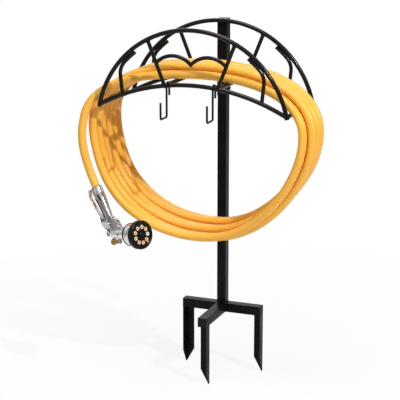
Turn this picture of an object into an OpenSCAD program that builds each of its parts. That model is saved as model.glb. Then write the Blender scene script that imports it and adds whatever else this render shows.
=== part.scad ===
// Freestanding garden hose holder: a steel post on three ground prongs carries
// a hanger of two arched wire frames, with two loose hooks, a coiled hose and
// a rear lever spray nozzle. Millimetres. The origin is on the post's axis at
// the ground line, the underside of the base arms. +Z is up, the hanger and
// the nozzle face -Y, and +X is to the right as seen from the front.

/* [Post] */
// Height of the whole stand above the ground line, to the top of its cap
stand_height = 817; // [700:1:950]
// Outer side of the square lower post and of the base arms
post_side = 25; // [20:0.5:32]
// Wall of the lower post and of the base arms
tube_wall = 1.5; // [1:0.1:2.5]
// Wall of the upper post, a sleeve over the lower one
sleeve_wall = 0.9; // [0.7:0.1:2]
// Clearance on each side between the lower post and the sleeve
sleeve_clearance = 0.1; // [0.05:0.05:0.5]
// Length of the upper post
sleeve_length = 205; // [180:1:260]
// Length of the lower post that stands inside the sleeve
sleeve_overlap = 72; // [50:1:120]
// Thickness of the cap's flange on top of the post
cap_thickness = 3; // [2:0.5:6]
// Chamfer round the top of the post cap
cap_chamfer = 1; // [0.5:0.1:1.5]
// Length of the stub of a cap or end plug inside its tube
plug_depth = 12; // [6:1:20]
// Thickness of an end plug's visible plate
plug_plate = 2; // [1:0.5:4]
// Clearance on each side between a plug and its tube
plug_clearance = 0.1; // [0.05:0.05:0.3]
// Wall of the hollow plugs
plug_wall = 1.6; // [1:0.1:2.5]

/* [Sleeve bolt] */
// Height of the bolt above the sleeve's lower end
bolt_above_sleeve = 21; // [15:1:50]
// Diameter of the bolt
bolt_d = 6; // [4:1:8]
// Clearance round the bolt in the posts and washers, on the radius
bolt_clearance = 0.2; // [0.1:0.05:0.5]
// Thickness of a bolt washer
washer_thickness = 1.2; // [0.8:0.1:2]

/* [Base] */
// Length of the cross arm, from tip to tip
cross_arm_length = 230; // [180:1:300]
// Length of the front arm, from the post's face to its tip
front_arm_length = 146.3; // [100:0.1:200]
// Length of the prongs below the ground line
prong_length = 169; // [120:1:220]
// Length of the tapered tip of a prong
prong_taper = 40; // [25:1:60]
// Leg thickness of the angle steel prongs
angle_wall = 3; // [2:0.5:4]

/* [Hanger] */
// Half width of the hanger, from the post's axis to a corner rod
half_span = 256; // [225:1:280]
// Rise of the outer arches above the corner rods
arch_rise = 204.5; // [170:0.5:230]
// Distance of the back arch's centre line below the top of the cap
arch_below_top = 4.5; // [4:0.5:25]
// Rise of the lower arcs above the corner rods
lower_rise = 64.5; // [45:0.5:90]
// Distance between the front and the back frame, between centre lines
frame_depth = 217.2; // [190:0.1:260]
// Diameter of the arches, arcs and cross rods
rod_d = 11.5; // [8:0.5:12]
// Diameter of the spokes, end curls and double arch
spoke_d = 10; // [6:0.5:10.5]
// Sideways place of a spoke's top on the outer arch
spoke_top_x = 119; // [100:1:130]
// Sideways place of a spoke's foot on the lower arc, and of the inner cross rods
spoke_foot_x = 72.5; // [60:0.5:85]
// Height of the double arch's ends and middle dip above the corner rods
double_arch_height = 117; // [105:1:135]
// Rise of each half of the double arch
double_arch_rise = 20.8; // [12:0.1:30]
// Gap filled by the weld between a rod's shaped end and the rod it meets
weld_gap = 0.05; // [0.02:0.01:0.2]
// Angle from the top of the arch where an end curl starts
curl_start = 37.7; // [34:0.1:42]
// Angle from the top of the arch where an end curl leaves the arch
curl_leave = 47; // [44:0.5:52]
// Bend radius of an end curl
curl_radius = 44; // [32:1:55]
// Lean of an end curl's straight foot from the vertical
curl_lean = 6; // [3:1:20]

/* [Hooks] */
// Diameter of the hooks' wire
hook_d = 5.5; // [4:0.5:6]
// Sideways place of the hooks
hook_x = 63; // [50:0.5:64]
// Clearance between a hook's bend and the rod it hangs on
hook_clearance = 0.4; // [0.3:0.05:1]
// Drop of a hook's foot below the rod it hangs on
hook_drop = 80; // [60:1:110]
// Forward reach of a hook's foot
hook_reach = 40; // [25:1:60]
// Height of a hook's tip above its foot
hook_tip = 43; // [20:1:60]
// Length of the hook's return leg behind the rod
hook_return = 26; // [15:1:40]
// Bend radius of the hook's foot, on the wire's centre line
hook_bend = 5; // [4:0.5:10]

/* [Hose] */
// Outer diameter of the hose
hose_d = 22; // [18:0.5:22]
// Bore of the hose's fittings
hose_bore = 14; // [10:0.5:15]
// Outer radius of the tap-end swivel nut
nut_r = 16; // [15.5:0.1:17]
// Radius of the swivel nut's thread, at the crests
thread_r = 12.7; // [12.4:0.1:13.2]
// Length of the swivel nut's thread
thread_length = 10; // [8:0.5:13]
// Length of the crimped ferrule on the hose's tap end
ferrule_length = 20; // [15:0.5:22]
// Running clearance between the swivel nut and its tail, on the radius
swivel_clearance = 0.06; // [0.02:0.01:0.1]
// Radius of the male fitting on the hose's nozzle end
male_r = 12.1; // [11.5:0.1:12.6]

/* [Nozzle] */
// Turn of the nozzle about the vertical, its barrel's direction from +X
nozzle_turn = -25.5; // [-40:0.5:-10]
// Rise of the barrel towards its dial
nozzle_tilt = 10; // [0:0.5:15]
// Lean of the grip from the barrel's upright
grip_lean = 23.5; // [18:0.5:28]
// Length of the inlet collar on the grip
collar_length = 20; // [18:0.5:26]
// Outer radius of the inlet collar
collar_r = 15.4; // [14.8:0.1:16.5]
// Outer diameter of the pattern dial
dial_d = 75; // [60:0.5:85]
// Depth of the pattern dial
dial_depth = 14; // [10:0.5:20]
// Width of the dial's raised rim
dial_rim = 7.5; // [5:0.5:9]
// Depth of the dial's face below its rim
dial_recess = 2; // [1:0.5:4]
// Diameter of the circle that the spray outlets stand on
outlet_circle = 41.4; // [34:0.2:44]
// Outer diameter of a spray outlet
outlet_d = 9.4; // [6:0.2:10]
// Number of spray outlets
outlet_count = 9; // [6:1:9]
// Radius of the axle that the dial turns on
axle_r = 4; // [3:0.5:5]
// Running clearance of the dial, the lever and the knob on their pins, on the radius
pin_clearance = 0.06; // [0.02:0.01:0.1]
// Clearance between the dial and the collar behind it
dial_gap = 0.3; // [0.2:0.05:0.6]
// Thickness of the lever's strip
lever_thickness = 2.5; // [1.5:0.1:3.5]
// Width of the lever at its tip
lever_width = 10; // [8:0.5:14]
// Half width of the body at the lever's pivot
pivot_half = 9; // [7:0.5:10]
// Radius of the lever's pivot pin
pivot_r = 2.5; // [1.5:0.1:3.5]
// Radius of the valve stem
stem_r = 2; // [1.5:0.1:3]
// Radius of the brass knob on the valve stem
stem_knob_r = 8; // [6:0.5:8.5]
// Radius of the brass flow knob's wide end
flow_knob_r = 9.3; // [7:0.1:10]

/* [Hidden] */
$fn = 48;

// Posts and base, worked out from the sizes above
half_post = post_side / 2;
sleeve_side = post_side + 2 * (sleeve_clearance + sleeve_wall);
sleeve_top = stand_height - cap_thickness;
sleeve_bottom = sleeve_top - sleeve_length;
post_top = sleeve_bottom + sleeve_overlap;
bolt_z = sleeve_bottom + bolt_above_sleeve;
arm_half = cross_arm_length / 2;
front_tip = -half_post - front_arm_length;
hex_across = bolt_d * 5 / 3;

// Hanger
rod_r = rod_d / 2;
spoke_r = spoke_d / 2;
back_y = -sleeve_side / 2 - rod_r;
front_y = back_y - frame_depth;
corner_z = stand_height - arch_below_top - arch_rise;
function arc_radius(half, rise) = (half * half + rise * rise) / (2 * rise);
arch_radius = arc_radius(half_span, arch_rise);
arch_z = corner_z + arch_rise - arch_radius;
arch_sweep = atan2(half_span, arch_radius - arch_rise) + rod_r / arch_radius * 180 / PI;
lower_radius = arc_radius(half_span, lower_rise);
lower_z = corner_z + lower_rise - lower_radius;
lower_sweep = atan2(half_span, lower_radius - lower_rise);
function arch_height(x) = arch_z + sqrt(arch_radius * arch_radius - x * x);
function lower_height(x) = lower_z + sqrt(lower_radius * lower_radius - x * x);
spoke_top_z = arch_height(spoke_top_x);
spoke_foot_z = lower_height(spoke_foot_x);
dip_z = corner_z + double_arch_height;
dip_end_x = spoke_foot_x + (spoke_top_x - spoke_foot_x)
    * (dip_z - spoke_foot_z) / (spoke_top_z - spoke_foot_z);
double_radius = arc_radius(dip_end_x / 2, double_arch_rise);
double_sweep = atan2(dip_end_x / 2, double_radius - double_arch_rise);

// End curls: along the arch, round the bend, then straight to the lower arc
curl_run = arch_radius - rod_r - spoke_r - 2 * weld_gap;
curl_bend_x = (curl_run - curl_radius) * sin(curl_leave);
curl_bend_z = arch_z + (curl_run - curl_radius) * cos(curl_leave);
curl_foot_x = curl_bend_x + curl_radius * cos(curl_lean);
curl_foot_z = curl_bend_z - curl_radius * sin(curl_lean);
curl_b = curl_foot_x * sin(curl_lean) + (curl_foot_z - lower_z) * cos(curl_lean);
curl_c = curl_foot_x * curl_foot_x + pow(curl_foot_z - lower_z, 2) - pow(lower_radius, 2);
curl_foot = curl_b - sqrt(curl_b * curl_b - curl_c);
function on_turn(x, z, r, a) = [x + r * sin(a), 0, z + r * cos(a)];
curl_route = concat([for (k = [0:4]) on_turn(0, arch_z, curl_run,
    curl_start + (curl_leave - curl_start) * k / 5)],
    [for (k = [0:8]) on_turn(curl_bend_x, curl_bend_z, curl_radius,
    curl_leave + (90 + curl_lean - curl_leave) * k / 8)],
    [[curl_foot_x - curl_foot * sin(curl_lean), 0, curl_foot_z - curl_foot * cos(curl_lean)]]);

// Hooks
hook_r = hook_d / 2;
hook_loop = rod_r + hook_clearance + hook_r;
hook_z = lower_height(hook_x);

// Coil of hose, wound from back to front, with the route's angle counted from
// the right (0), over the top (90), to the left (180) and the bottom (270).
hose_r = hose_d / 2;
coil_half = half_span + 39.5;
coil_z = corner_z - 46.5;
coil_top = lower_rise + 62.5;
coil_bottom = 300.7;
coil_grow = 5.2;
coil_y = [-129.2, -71.2, -31, -51.5];
coil_pitch = [16.3, 16.1, 31, 23.5];
coil_nest = 14;
coil_lift = 20.2;
coil_first = 0.25;
coil_last = 6.49;
swing_out = 10.1;
swing_forward = 3.3;
right_shoulder = [0.125, 0.018];
left_shoulder = [0.208, -0.047];
right_tuck = [0.251, -0.116];
left_tuck = [-0.125, 0];
ring_turns = [0, 9, 18, 27, 38, 53, 72, 90, 108, 127, 142, 153, 162, 171,
    180, 197, 213, 230, 249, 270, 291, 310, 327, 343];

function ease(t) = let (u = min(1, max(0, t))) u * u * (3 - 2 * u);
function at_station(v, phi) =
    let (k = floor(phi / 90), f = ease(phi / 90 - k)) v[k] * (1 - f) + v[(k + 1) % 4] * f;
function strand(turn) = let (
    n = floor(turn + 0.0001), phi = max(0, (turn - n) * 360),
    q = n + ease((phi - 84) / 246),
    pitch = at_station(coil_pitch, phi),
    swing = ease((turn - 6.26) / 0.24),
    start = 1 - ease((turn - coil_first) / 0.2),
    spread = min(1, max(0, (pitch - coil_nest) / 13.4)),
    up = coil_lift * 0.5 * (1 - cos(180 * q)) * (1 - spread * spread) + swing_out * swing,
    y = at_station(coil_y, phi) - pitch * q - swing_forward * swing + 9 * start,
    c = cos(phi) * cos(phi), s = sin(phi) * sin(phi),
    shoulder = cos(phi) > 0 ? right_shoulder : left_shoulder,
    tuck = cos(phi) > 0 ? right_tuck : left_tuck,
    x = (coil_half + up) * cos(phi) * (sin(phi) < 0 ? 1 - tuck[0] * s - tuck[1] * s * s : 1),
    z = sin(phi) >= 0
        ? (coil_top + up) * sin(phi) * (1 + shoulder[0] * c + shoulder[1] * c * c)
        : (coil_bottom + coil_grow * (q - 6) + up) * sin(phi) * (1 + 0.05 * c))
    [x, y, coil_z + z];
function unit(v) = v / norm(v);
coil_start = strand(coil_first);
coil_end = strand(coil_last);
coil_end_way = unit(coil_end - strand(coil_last - 0.003));
ferrule_x = hose_d + 2;
coil_turns = [for (n = [0:6]) for (a = ring_turns) let (t = n + a / 360)
    if (t > coil_first + 0.02 && t < coil_last - 0.02) t];
coil_route = concat([coil_start + [ferrule_x, 0, 0], coil_start + [ferrule_x / 2, 0, 0],
    coil_start], [for (t = coil_turns) strand(t)],
    [coil_end, coil_end + coil_end_way * hose_r, coil_end + coil_end_way * hose_d]);

// Nozzle frame: u along the barrel, v up the barrel's upright, side to side in y
nozzle_at = [-211.5, -266.2, 269];
nozzle_u = [cos(nozzle_tilt) * cos(nozzle_turn), cos(nozzle_tilt) * sin(nozzle_turn),
    sin(nozzle_tilt)];
nozzle_v = [-sin(nozzle_tilt) * cos(nozzle_turn), -sin(nozzle_tilt) * sin(nozzle_turn),
    cos(nozzle_tilt)];
grip_way = [sin(grip_lean), -cos(grip_lean)];
inlet_at = [-43, 124];
inlet_point = nozzle_at + inlet_at[0] * nozzle_u + inlet_at[1] * nozzle_v;
inlet_way = grip_way[0] * nozzle_u + grip_way[1] * nozzle_v;

// Free stretch of hose between the coil and the nozzle, one easy bend that
// leaves the coil along its last turn and enters the nozzle's fitting straight;
// a short straight lead squares each end to what it meets
tail_start = coil_end + coil_end_way * hose_d;
tail_pull = norm(inlet_point - tail_start);
function on_tail(t) = let (a = t * t * t, b = t * t)
    tail_start * (2 * a - 3 * b + 1) + coil_end_way * tail_pull * (a - 2 * b + t)
    + inlet_point * (3 * b - 2 * a) + inlet_way * tail_pull * (a - b);
tail_route = concat([tail_start, tail_start + 2 * coil_end_way],
    [for (k = [1:7]) on_tail(k / 8)], [inlet_point - 2 * inlet_way, inlet_point]);

// Rings of a round tube along a route, and the tube itself
function way(p, i) = unit(p[min(len(p) - 1, i + 1)] - p[max(0, i - 1)]);
function ring(c, w, a, b, sides) = let (
    n = unit(cross([0, 1, 0], w)), m = cross(w, n))
    [for (k = [0:sides - 1]) c + a * cos(360 * k / sides) * n + b * sin(360 * k / sides) * m];
module skin(rings) {
    s = len(rings[0]);
    e = len(rings) - 1;
    points = [for (r = rings) for (p = r) p];
    sides = [for (i = [0:e - 1]) for (k = [0:s - 1]) let (
        a = i * s + k, b = i * s + (k + 1) % s) each [[a, a + s, b], [b, a + s, b + s]]];
    ends = [for (k = [1:s - 2]) each [[0, k, k + 1], [e * s, e * s + k + 1, e * s + k]]];
    polyhedron(points, concat(sides, ends));
}
module tube(route, radius, sides)
    skin([for (i = [0:len(route) - 1]) ring(route[i], way(route, i), radius, radius, sides)]);

// Length of the hose, and its least gap to itself, between its turns
function run(p) = [for (i = [1:len(p) - 1]) norm(p[i] - p[i - 1])];
function sum(v, i = 0, s = 0) = i == len(v) ? s : sum(v, i + 1, s + v[i]);
function off_line(p, a, b) = let (d = b - a, t = min(1, max(0, (p - a) * d / (d * d))))
    norm(p - a - t * d);
coil_gap = min([for (i = [0:len(coil_route) - 1]) for (j = [i + 12:1:len(coil_route) - 2])
    off_line(coil_route[i], coil_route[j], coil_route[j + 1])]) - hose_d;
echo("hose coil length", sum(run(coil_route)), "tail length", sum(run(tail_route)));
echo("hose coil least gap to itself", coil_gap);
echo("coil to rods", [for (r = [[spoke_foot_x, spoke_foot_z], [-spoke_foot_x, spoke_foot_z],
    [half_span, corner_z], [-half_span, corner_z]]) min([for (i = [0:len(coil_route) - 2])
    off_line([r[0], 0, r[1]], [coil_route[i][0], 0, coil_route[i][2]],
    [coil_route[i + 1][0], 0, coil_route[i + 1][2]])]) - hose_r - rod_r]);

// Shared shapes
module square_tube(length, side, wall) difference() {
    translate([-side / 2, -side / 2, 0]) cube([side, side, length]);
    translate([-side / 2 + wall, -side / 2 + wall, -1])
        cube([side - 2 * wall, side - 2 * wall, length + 2]);
}
module end_plug(side, wall, plate) {
    inner = side - 2 * (wall + plug_clearance);
    translate([-side / 2, -side / 2, 0]) cube([side, side, plate]);
    translate([0, 0, -plug_depth]) square_tube(plug_depth, inner, plug_wall);
}
module arc_rod(radius, r, from, to) rotate([90, 0, 0]) rotate([0, 0, from])
    rotate_extrude(angle = to - from, $fn = 120) translate([radius, 0]) circle(r, $fn = 32);
module bar(a, b, r) {
    d = b - a;
    translate(a) rotate([0, acos(d[2] / norm(d)), atan2(d[1], d[0])]) cylinder(h = norm(d), r = r);
}
module both_sides() {
    children();
    mirror([1, 0, 0]) children();
}

// Base and posts
module lower_post() color([0.09, 0.09, 0.1]) difference() {
    square_tube(post_top, post_side, tube_wall);
    translate([-post_side, 0, bolt_z]) rotate([0, 90, 0])
        cylinder(h = 2 * post_side, r = bolt_d / 2 + bolt_clearance);
}
module upper_post() color([0.1, 0.1, 0.11]) difference() {
    translate([0, 0, sleeve_bottom]) square_tube(sleeve_length, sleeve_side, sleeve_wall);
    translate([-sleeve_side, 0, bolt_z]) rotate([0, 90, 0])
        cylinder(h = 2 * sleeve_side, r = bolt_d / 2 + bolt_clearance);
}
module cap_profile() polygon([[-sleeve_side / 2, 0], [sleeve_side / 2, 0],
    [sleeve_side / 2, cap_thickness - cap_chamfer],
    [sleeve_side / 2 - cap_chamfer, cap_thickness],
    [-sleeve_side / 2 + cap_chamfer, cap_thickness],
    [-sleeve_side / 2, cap_thickness - cap_chamfer]]);
module post_cap() color([0.12, 0.12, 0.12]) translate([0, 0, sleeve_top]) {
    intersection() {
        rotate([90, 0, 0]) linear_extrude(sleeve_side, center = true) cap_profile();
        rotate([90, 0, 90]) linear_extrude(sleeve_side, center = true) cap_profile();
    }
    translate([0, 0, -plug_depth])
        square_tube(plug_depth, sleeve_side - 2 * (sleeve_wall + plug_clearance), plug_wall);
}
module side_arm() translate([half_post, 0, half_post]) rotate([0, 90, 0])
    square_tube(arm_half - half_post - plug_plate, post_side, tube_wall);
module right_arm() color([0.09, 0.09, 0.1]) side_arm();
module left_arm() color([0.09, 0.09, 0.1]) mirror([1, 0, 0]) side_arm();
module front_arm() color([0.09, 0.09, 0.1]) translate([0, -half_post, half_post])
    rotate([90, 0, 0]) square_tube(front_arm_length - plug_plate, post_side, tube_wall);
module arm_end_plugs() color([0.12, 0.12, 0.12]) {
    both_sides() translate([arm_half - plug_plate, 0, half_post]) rotate([0, 90, 0])
        end_plug(post_side, tube_wall, plug_plate);
    translate([0, front_tip + plug_plate, half_post]) rotate([90, 0, 0])
        end_plug(post_side, tube_wall, plug_plate);
}
module prong_leaf() translate([0, angle_wall, 0]) rotate([90, 0, 0])
    linear_extrude(angle_wall) polygon([[0, 0], [-post_side, 0],
        [-post_side, prong_taper - prong_length], [-angle_wall, -prong_length],
        [0, -prong_length]]);
module prong() {
    translate([0, -angle_wall, 0]) prong_leaf();
    mirror([-1, 1, 0]) mirror([1, 0, 0]) translate([0, -angle_wall, 0]) mirror([1, 0, 0]) prong_leaf();
}
module right_prong() color([0.09, 0.09, 0.1]) translate([arm_half, half_post, 0]) prong();
module left_prong() color([0.09, 0.09, 0.1]) mirror([1, 0, 0])
    translate([arm_half, half_post, 0]) prong();
module front_prong() color([0.09, 0.09, 0.1])
    translate([half_post, front_tip + post_side, 0]) prong();

// Bolt that holds the sleeve on the lower post
module sleeve_bolt() color([0.2, 0.2, 0.2]) translate([0, 0, bolt_z]) rotate([0, 90, 0]) {
    seat = sleeve_side / 2 + washer_thickness;
    translate([0, 0, -seat - bolt_d * 1.3]) cylinder(h = 2 * seat + bolt_d * 1.3, d = bolt_d);
    translate([0, 0, seat]) cylinder(h = bolt_d * 0.67, r = hex_across / sqrt(3), $fn = 6);
}
module sleeve_washers() color([0.25, 0.25, 0.25]) both_sides()
    translate([sleeve_side / 2, 0, bolt_z]) rotate([0, 90, 0]) difference() {
        cylinder(h = washer_thickness, d = bolt_d * 2);
        translate([0, 0, -1]) cylinder(h = washer_thickness + 2, r = bolt_d / 2 + bolt_clearance);
    }
module sleeve_nut() color([0.2, 0.2, 0.2])
    translate([-sleeve_side / 2 - washer_thickness, 0, bolt_z]) rotate([0, -90, 0]) difference() {
        cylinder(h = bolt_d * 0.83, r = hex_across / sqrt(3), $fn = 6);
        translate([0, 0, -1]) cylinder(h = bolt_d * 0.83 + 2, r = bolt_d / 2 + 0.05);
    }

// Hanger, each frame drawn in its own plane
module arch(r = rod_r) translate([0, 0, arch_z])
    arc_rod(arch_radius, r, 90 - arch_sweep, 90 + arch_sweep);
module lower_arc(r = rod_r) translate([0, 0, lower_z])
    arc_rod(lower_radius, r, 90 - lower_sweep, 90 + lower_sweep);
module spoke(r = spoke_r)
    bar([spoke_foot_x, 0, spoke_foot_z], [spoke_top_x, 0, spoke_top_z], r);
module seated_lower_arc() difference() {
    lower_arc();
    arch(rod_r + weld_gap);
}
module seated_spokes() both_sides() difference() {
    spoke();
    arch(rod_r + weld_gap);
    lower_arc(rod_r + weld_gap);
}
module curl() difference() {
    tube(curl_route, spoke_r, 12);
    lower_arc(rod_r + weld_gap);
}
module half_double_arch() difference() {
    translate([dip_end_x / 2, 0, dip_z + double_arch_rise - double_radius])
        arc_rod(double_radius, spoke_r, 90 - double_sweep, 90 + double_sweep + 6);
    spoke(spoke_r + weld_gap);
    translate([-2 * spoke_d, -spoke_d, dip_z - 4 * spoke_d]) cube([2 * spoke_d, 2 * spoke_d, 8 * spoke_d]);
}
module front_arch() color([0.08, 0.08, 0.09]) translate([0, front_y, 0]) arch();
module back_arch() color([0.08, 0.08, 0.09]) translate([0, back_y, 0]) arch();
module front_lower_arc() color([0.1, 0.1, 0.11]) translate([0, front_y, 0]) seated_lower_arc();
module back_lower_arc() color([0.1, 0.1, 0.11]) translate([0, back_y, 0]) seated_lower_arc();
module front_spokes() color([0.12, 0.12, 0.13]) translate([0, front_y, 0]) seated_spokes();
module back_spokes() color([0.12, 0.12, 0.13]) translate([0, back_y, 0]) seated_spokes();
module front_curls() color([0.1, 0.1, 0.12]) translate([0, front_y, 0]) both_sides() curl();
module back_curls() color([0.1, 0.1, 0.12]) translate([0, back_y, 0]) both_sides() curl();
module double_arch() color([0.11, 0.11, 0.12]) translate([0, front_y, 0])
    both_sides() half_double_arch();
module cross_rod(x, z) translate([x, front_y + rod_r, z]) rotate([-90, 0, 0])
    cylinder(h = frame_depth - rod_d, r = rod_r);
module corner_rods() color([0.1, 0.1, 0.1]) both_sides() cross_rod(half_span, corner_z);
module inner_rods() color([0.1, 0.1, 0.1]) both_sides() cross_rod(spoke_foot_x, spoke_foot_z);

// Hooks of bent wire that hang over the front frame's lower arc
module hook() translate([0, front_y, hook_z]) rotate([0, 0, -90]) {
    foot = -hook_drop;
    arc_rod(hook_loop, hook_r, 0, 180);
    bar([-hook_loop, 0, -hook_return], [-hook_loop, 0, 0], hook_r);
    bar([hook_loop, 0, foot + hook_bend], [hook_loop, 0, 0], hook_r);
    translate([hook_loop + hook_bend, 0, foot + hook_bend]) arc_rod(hook_bend, hook_r, 180, 270);
    bar([hook_loop + hook_bend, 0, foot], [hook_loop + hook_reach - hook_bend, 0, foot], hook_r);
    translate([hook_loop + hook_reach - hook_bend, 0, foot + hook_bend])
        arc_rod(hook_bend, hook_r, -90, 0);
    bar([hook_loop + hook_reach, 0, foot + hook_bend],
        [hook_loop + hook_reach, 0, foot + hook_tip], hook_r);
}
module left_hook() color([0.14, 0.14, 0.15]) translate([-hook_x, 0, 0]) hook();
module right_hook() color([0.14, 0.14, 0.15]) translate([hook_x, 0, 0]) hook();

// Hose with its fittings
module hose_coil() color([0.98, 0.68, 0.2]) tube(coil_route, hose_r, 6);
module hose_tail() color([0.98, 0.66, 0.2]) tube(tail_route, hose_r, 10);
flange_r = thread_r - 0.7;
tail_r = hose_bore / 2 + 2;
nut_wall = 3;
nut_recess = 4;
nut_start = ferrule_length + 1;
module on_tap_end() translate(coil_start + [ferrule_x, 0, 0]) rotate([0, 90, 0]) children();
module hose_ferrule() color([0.8, 0.63, 0.3]) on_tap_end() difference() {
    rotate_extrude() polygon([[0, 0], [hose_r + 1.4, 0], [hose_r + 1.4, 3], [hose_r + 0.8, 4],
        [hose_r + 0.8, ferrule_length - 3], [hose_r, ferrule_length], [tail_r, ferrule_length],
        [tail_r, nut_start + nut_wall + 0.3], [flange_r, nut_start + nut_wall + 0.3],
        [flange_r, nut_start + nut_wall + 2], [0, nut_start + nut_wall + 2]]);
    translate([0, 0, 2]) cylinder(h = ferrule_length + 20, d = hose_bore);
}
module swivel_nut() color([0.85, 0.67, 0.33]) on_tap_end() translate([0, 0, nut_start]) difference() {
    cylinder(h = nut_wall + nut_recess + thread_length, r = nut_r);
    translate([0, 0, -1]) cylinder(h = nut_wall + 2, r = tail_r + swivel_clearance);
    translate([0, 0, nut_wall]) cylinder(h = nut_recess, r = thread_r + 0.5);
    translate([0, 0, nut_wall + nut_recess - 0.1]) cylinder(h = thread_length + 1, r = thread_r);
    for (a = [0:30:359]) rotate([0, 0, a]) translate([nut_r + 1.6, 0, -1])
        cylinder(h = thread_length + 20, r = 2.6);
}
module hose_washer() color([0.1, 0.1, 0.1]) on_tap_end()
    translate([0, 0, nut_start + nut_wall + 2]) difference() {
        cylinder(h = 2, r = flange_r);
        translate([0, 0, -1]) cylinder(h = 4, d = hose_bore);
    }

// Nozzle: modules below draw in the nozzle's frame, u along X and v along Z
module in_nozzle() translate(nozzle_at) rotate([0, -nozzle_tilt, nozzle_turn]) children();
module on_inlet() in_nozzle() translate([inlet_at[0], 0, inlet_at[1]])
    rotate([0, 180 - grip_lean, 0]) children();
male_length = collar_length - 6;
module hose_male_end() color([0.85, 0.67, 0.33]) on_inlet() difference() {
    cylinder(h = male_length, r = male_r);
    translate([0, 0, 2]) cylinder(h = male_length, d = hose_bore);
}
module inlet_washer() color([0.1, 0.1, 0.1]) on_inlet() translate([0, 0, male_length]) difference() {
    cylinder(h = 2, r = male_r - 0.3);
    translate([0, 0, -1]) cylinder(h = 4, d = hose_bore);
}
module inlet_collar() color([0.5, 0.5, 0.52]) on_inlet() difference() {
    rotate_extrude() polygon([[0, 0.5], [collar_r - 1, 0.5], [collar_r, 1.5],
        [collar_r, collar_length - 1], [collar_r - 1, collar_length], [0, collar_length]]);
    translate([0, 0, -1]) cylinder(h = male_length + 3, r = male_r + 0.1);
    translate([0, 0, -1]) cylinder(h = collar_length + 2, d = hose_bore);
    for (a = [0:24:359]) rotate([0, 0, a]) translate([collar_r + 0.7, 0, 3])
        cylinder(h = collar_length - 6, r = 1.5);
}

grip_start = inlet_at + grip_way * collar_length;
grip_sections = [[grip_start[0], grip_start[1], 14.6, 14.2], [-29, 95, 14.6, 13.3],
    [-21.8, 80.4, 13.2, 12], [-13.8, 61.5, 12.6, 10.8], [-6, 43.5, 12.8, pivot_half],
    [1, 28, 13.4, pivot_half], [8, 14, 13, pivot_half], [12, 2, 10, pivot_half - 0.5]];
grip_route = [for (s = grip_sections) [s[0], 0, s[1]]];
pivot_at = [2, 26];
barrel_end = 77;
ring_width = 2.5;
collar_start = barrel_end + ring_width;
barrel_rear = -4.5;
stem_boss = 5.5;
flow_drop = -12 - flow_knob_r;
collar_end = 107;
dial_r = dial_d / 2;
neck_r = dial_r - 9.5;
module nozzle_body() color([0.78, 0.78, 0.8]) in_nozzle() difference() {
    union() {
        skin([for (i = [0:len(grip_route) - 1]) let (w = i == 0
            ? [grip_way[0], 0, grip_way[1]] : way(grip_route, i))
            ring(grip_route[i], w, grip_sections[i][2], grip_sections[i][3], 24)]);
        rotate([0, 90, 0]) rotate_extrude() polygon([[0, barrel_rear], [stem_boss, barrel_rear],
            [stem_boss + 1, barrel_rear + 1], [stem_boss + 1, -3], [9.6, 0], [12, 20], [14.2, 45],
            [15.6, 56], [19, 65], [neck_r - 3, 71], [neck_r, barrel_end], [0, barrel_end]]);
        rotate([90, 0, 0]) linear_extrude(13, center = true) polygon([[-2, 50], [9, 47], [14, 41],
            [24, 40], [30, 34], [35, 24], [50, 12], [40, 4], [10, 4]]);
        translate([25, -4, flow_drop - 4.5]) cube([7, 8, -flow_drop - 5]);
        translate([20, 0, flow_drop]) rotate([0, 90, 0]) cylinder(h = 6, r = 2.5);
    }
    translate([pivot_at[0], 0, pivot_at[1]]) rotate([90, 0, 0])
        cylinder(h = 60, r = pivot_r, center = true);
    translate([barrel_rear - 1, 0, 0]) rotate([0, 90, 0]) cylinder(h = 41, r = stem_r + pin_clearance);
    rotate([0, 90, 0]) rotate_extrude() polygon([[0, 24], [6, 24], [8.5, 32], [10.5, 45],
        [12, 56], [15.5, 65], [neck_r - 6, 72], [neck_r - 4, barrel_end + 1], [0, barrel_end + 1]]);
    translate([grip_start[0], 0, grip_start[1]]) rotate([0, 180 - grip_lean, 0])
        translate([0, 0, -1]) cylinder(h = 46, r = hose_bore / 2 + 1);
    for (s = [-1, 1]) translate([-29.5, s * 12.5, 94.5]) rotate([0, grip_lean, 0])
        rotate([0, 90, 0]) rotate([90, 0, 0]) linear_extrude(5, center = true) {
            translate([-6, -2.4]) square([12, 4.8]);
            translate([-6, 0]) circle(2.4);
            translate([6, 0]) circle(2.4);
        }
}
module barrel_ring() color([0.06, 0.06, 0.06]) in_nozzle() translate([barrel_end, 0, 0])
    rotate([0, 90, 0]) difference() {
        cylinder(h = ring_width, r = neck_r + 0.8);
        translate([0, 0, -1]) cylinder(h = ring_width + 2, r = neck_r - 4);
    }
module dial_collar() color([0.85, 0.85, 0.87]) in_nozzle() rotate([0, 90, 0]) rotate_extrude()
    polygon([[neck_r - 4, collar_start], [neck_r, collar_start], [neck_r + 1.2, collar_start + 1.5],
        [neck_r + 1.8, 92], [neck_r + 4, collar_end - 4], [neck_r + 5.5, collar_end - 2],
        [neck_r + 5.5, collar_end], [axle_r, collar_end], [axle_r, dial_face], [0, dial_face],
        [0, collar_end - 4], [neck_r, collar_end - 4], [neck_r - 3, 92]]);
dial_back = collar_end + dial_gap;
dial_front = dial_back + dial_depth;
dial_face = dial_front - dial_recess;
module around_outlets() for (k = [0:outlet_count - 1])
    rotate([0, 0, 360 * k / outlet_count + 8]) translate([outlet_circle / 2, 0, 0]) children();
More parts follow.
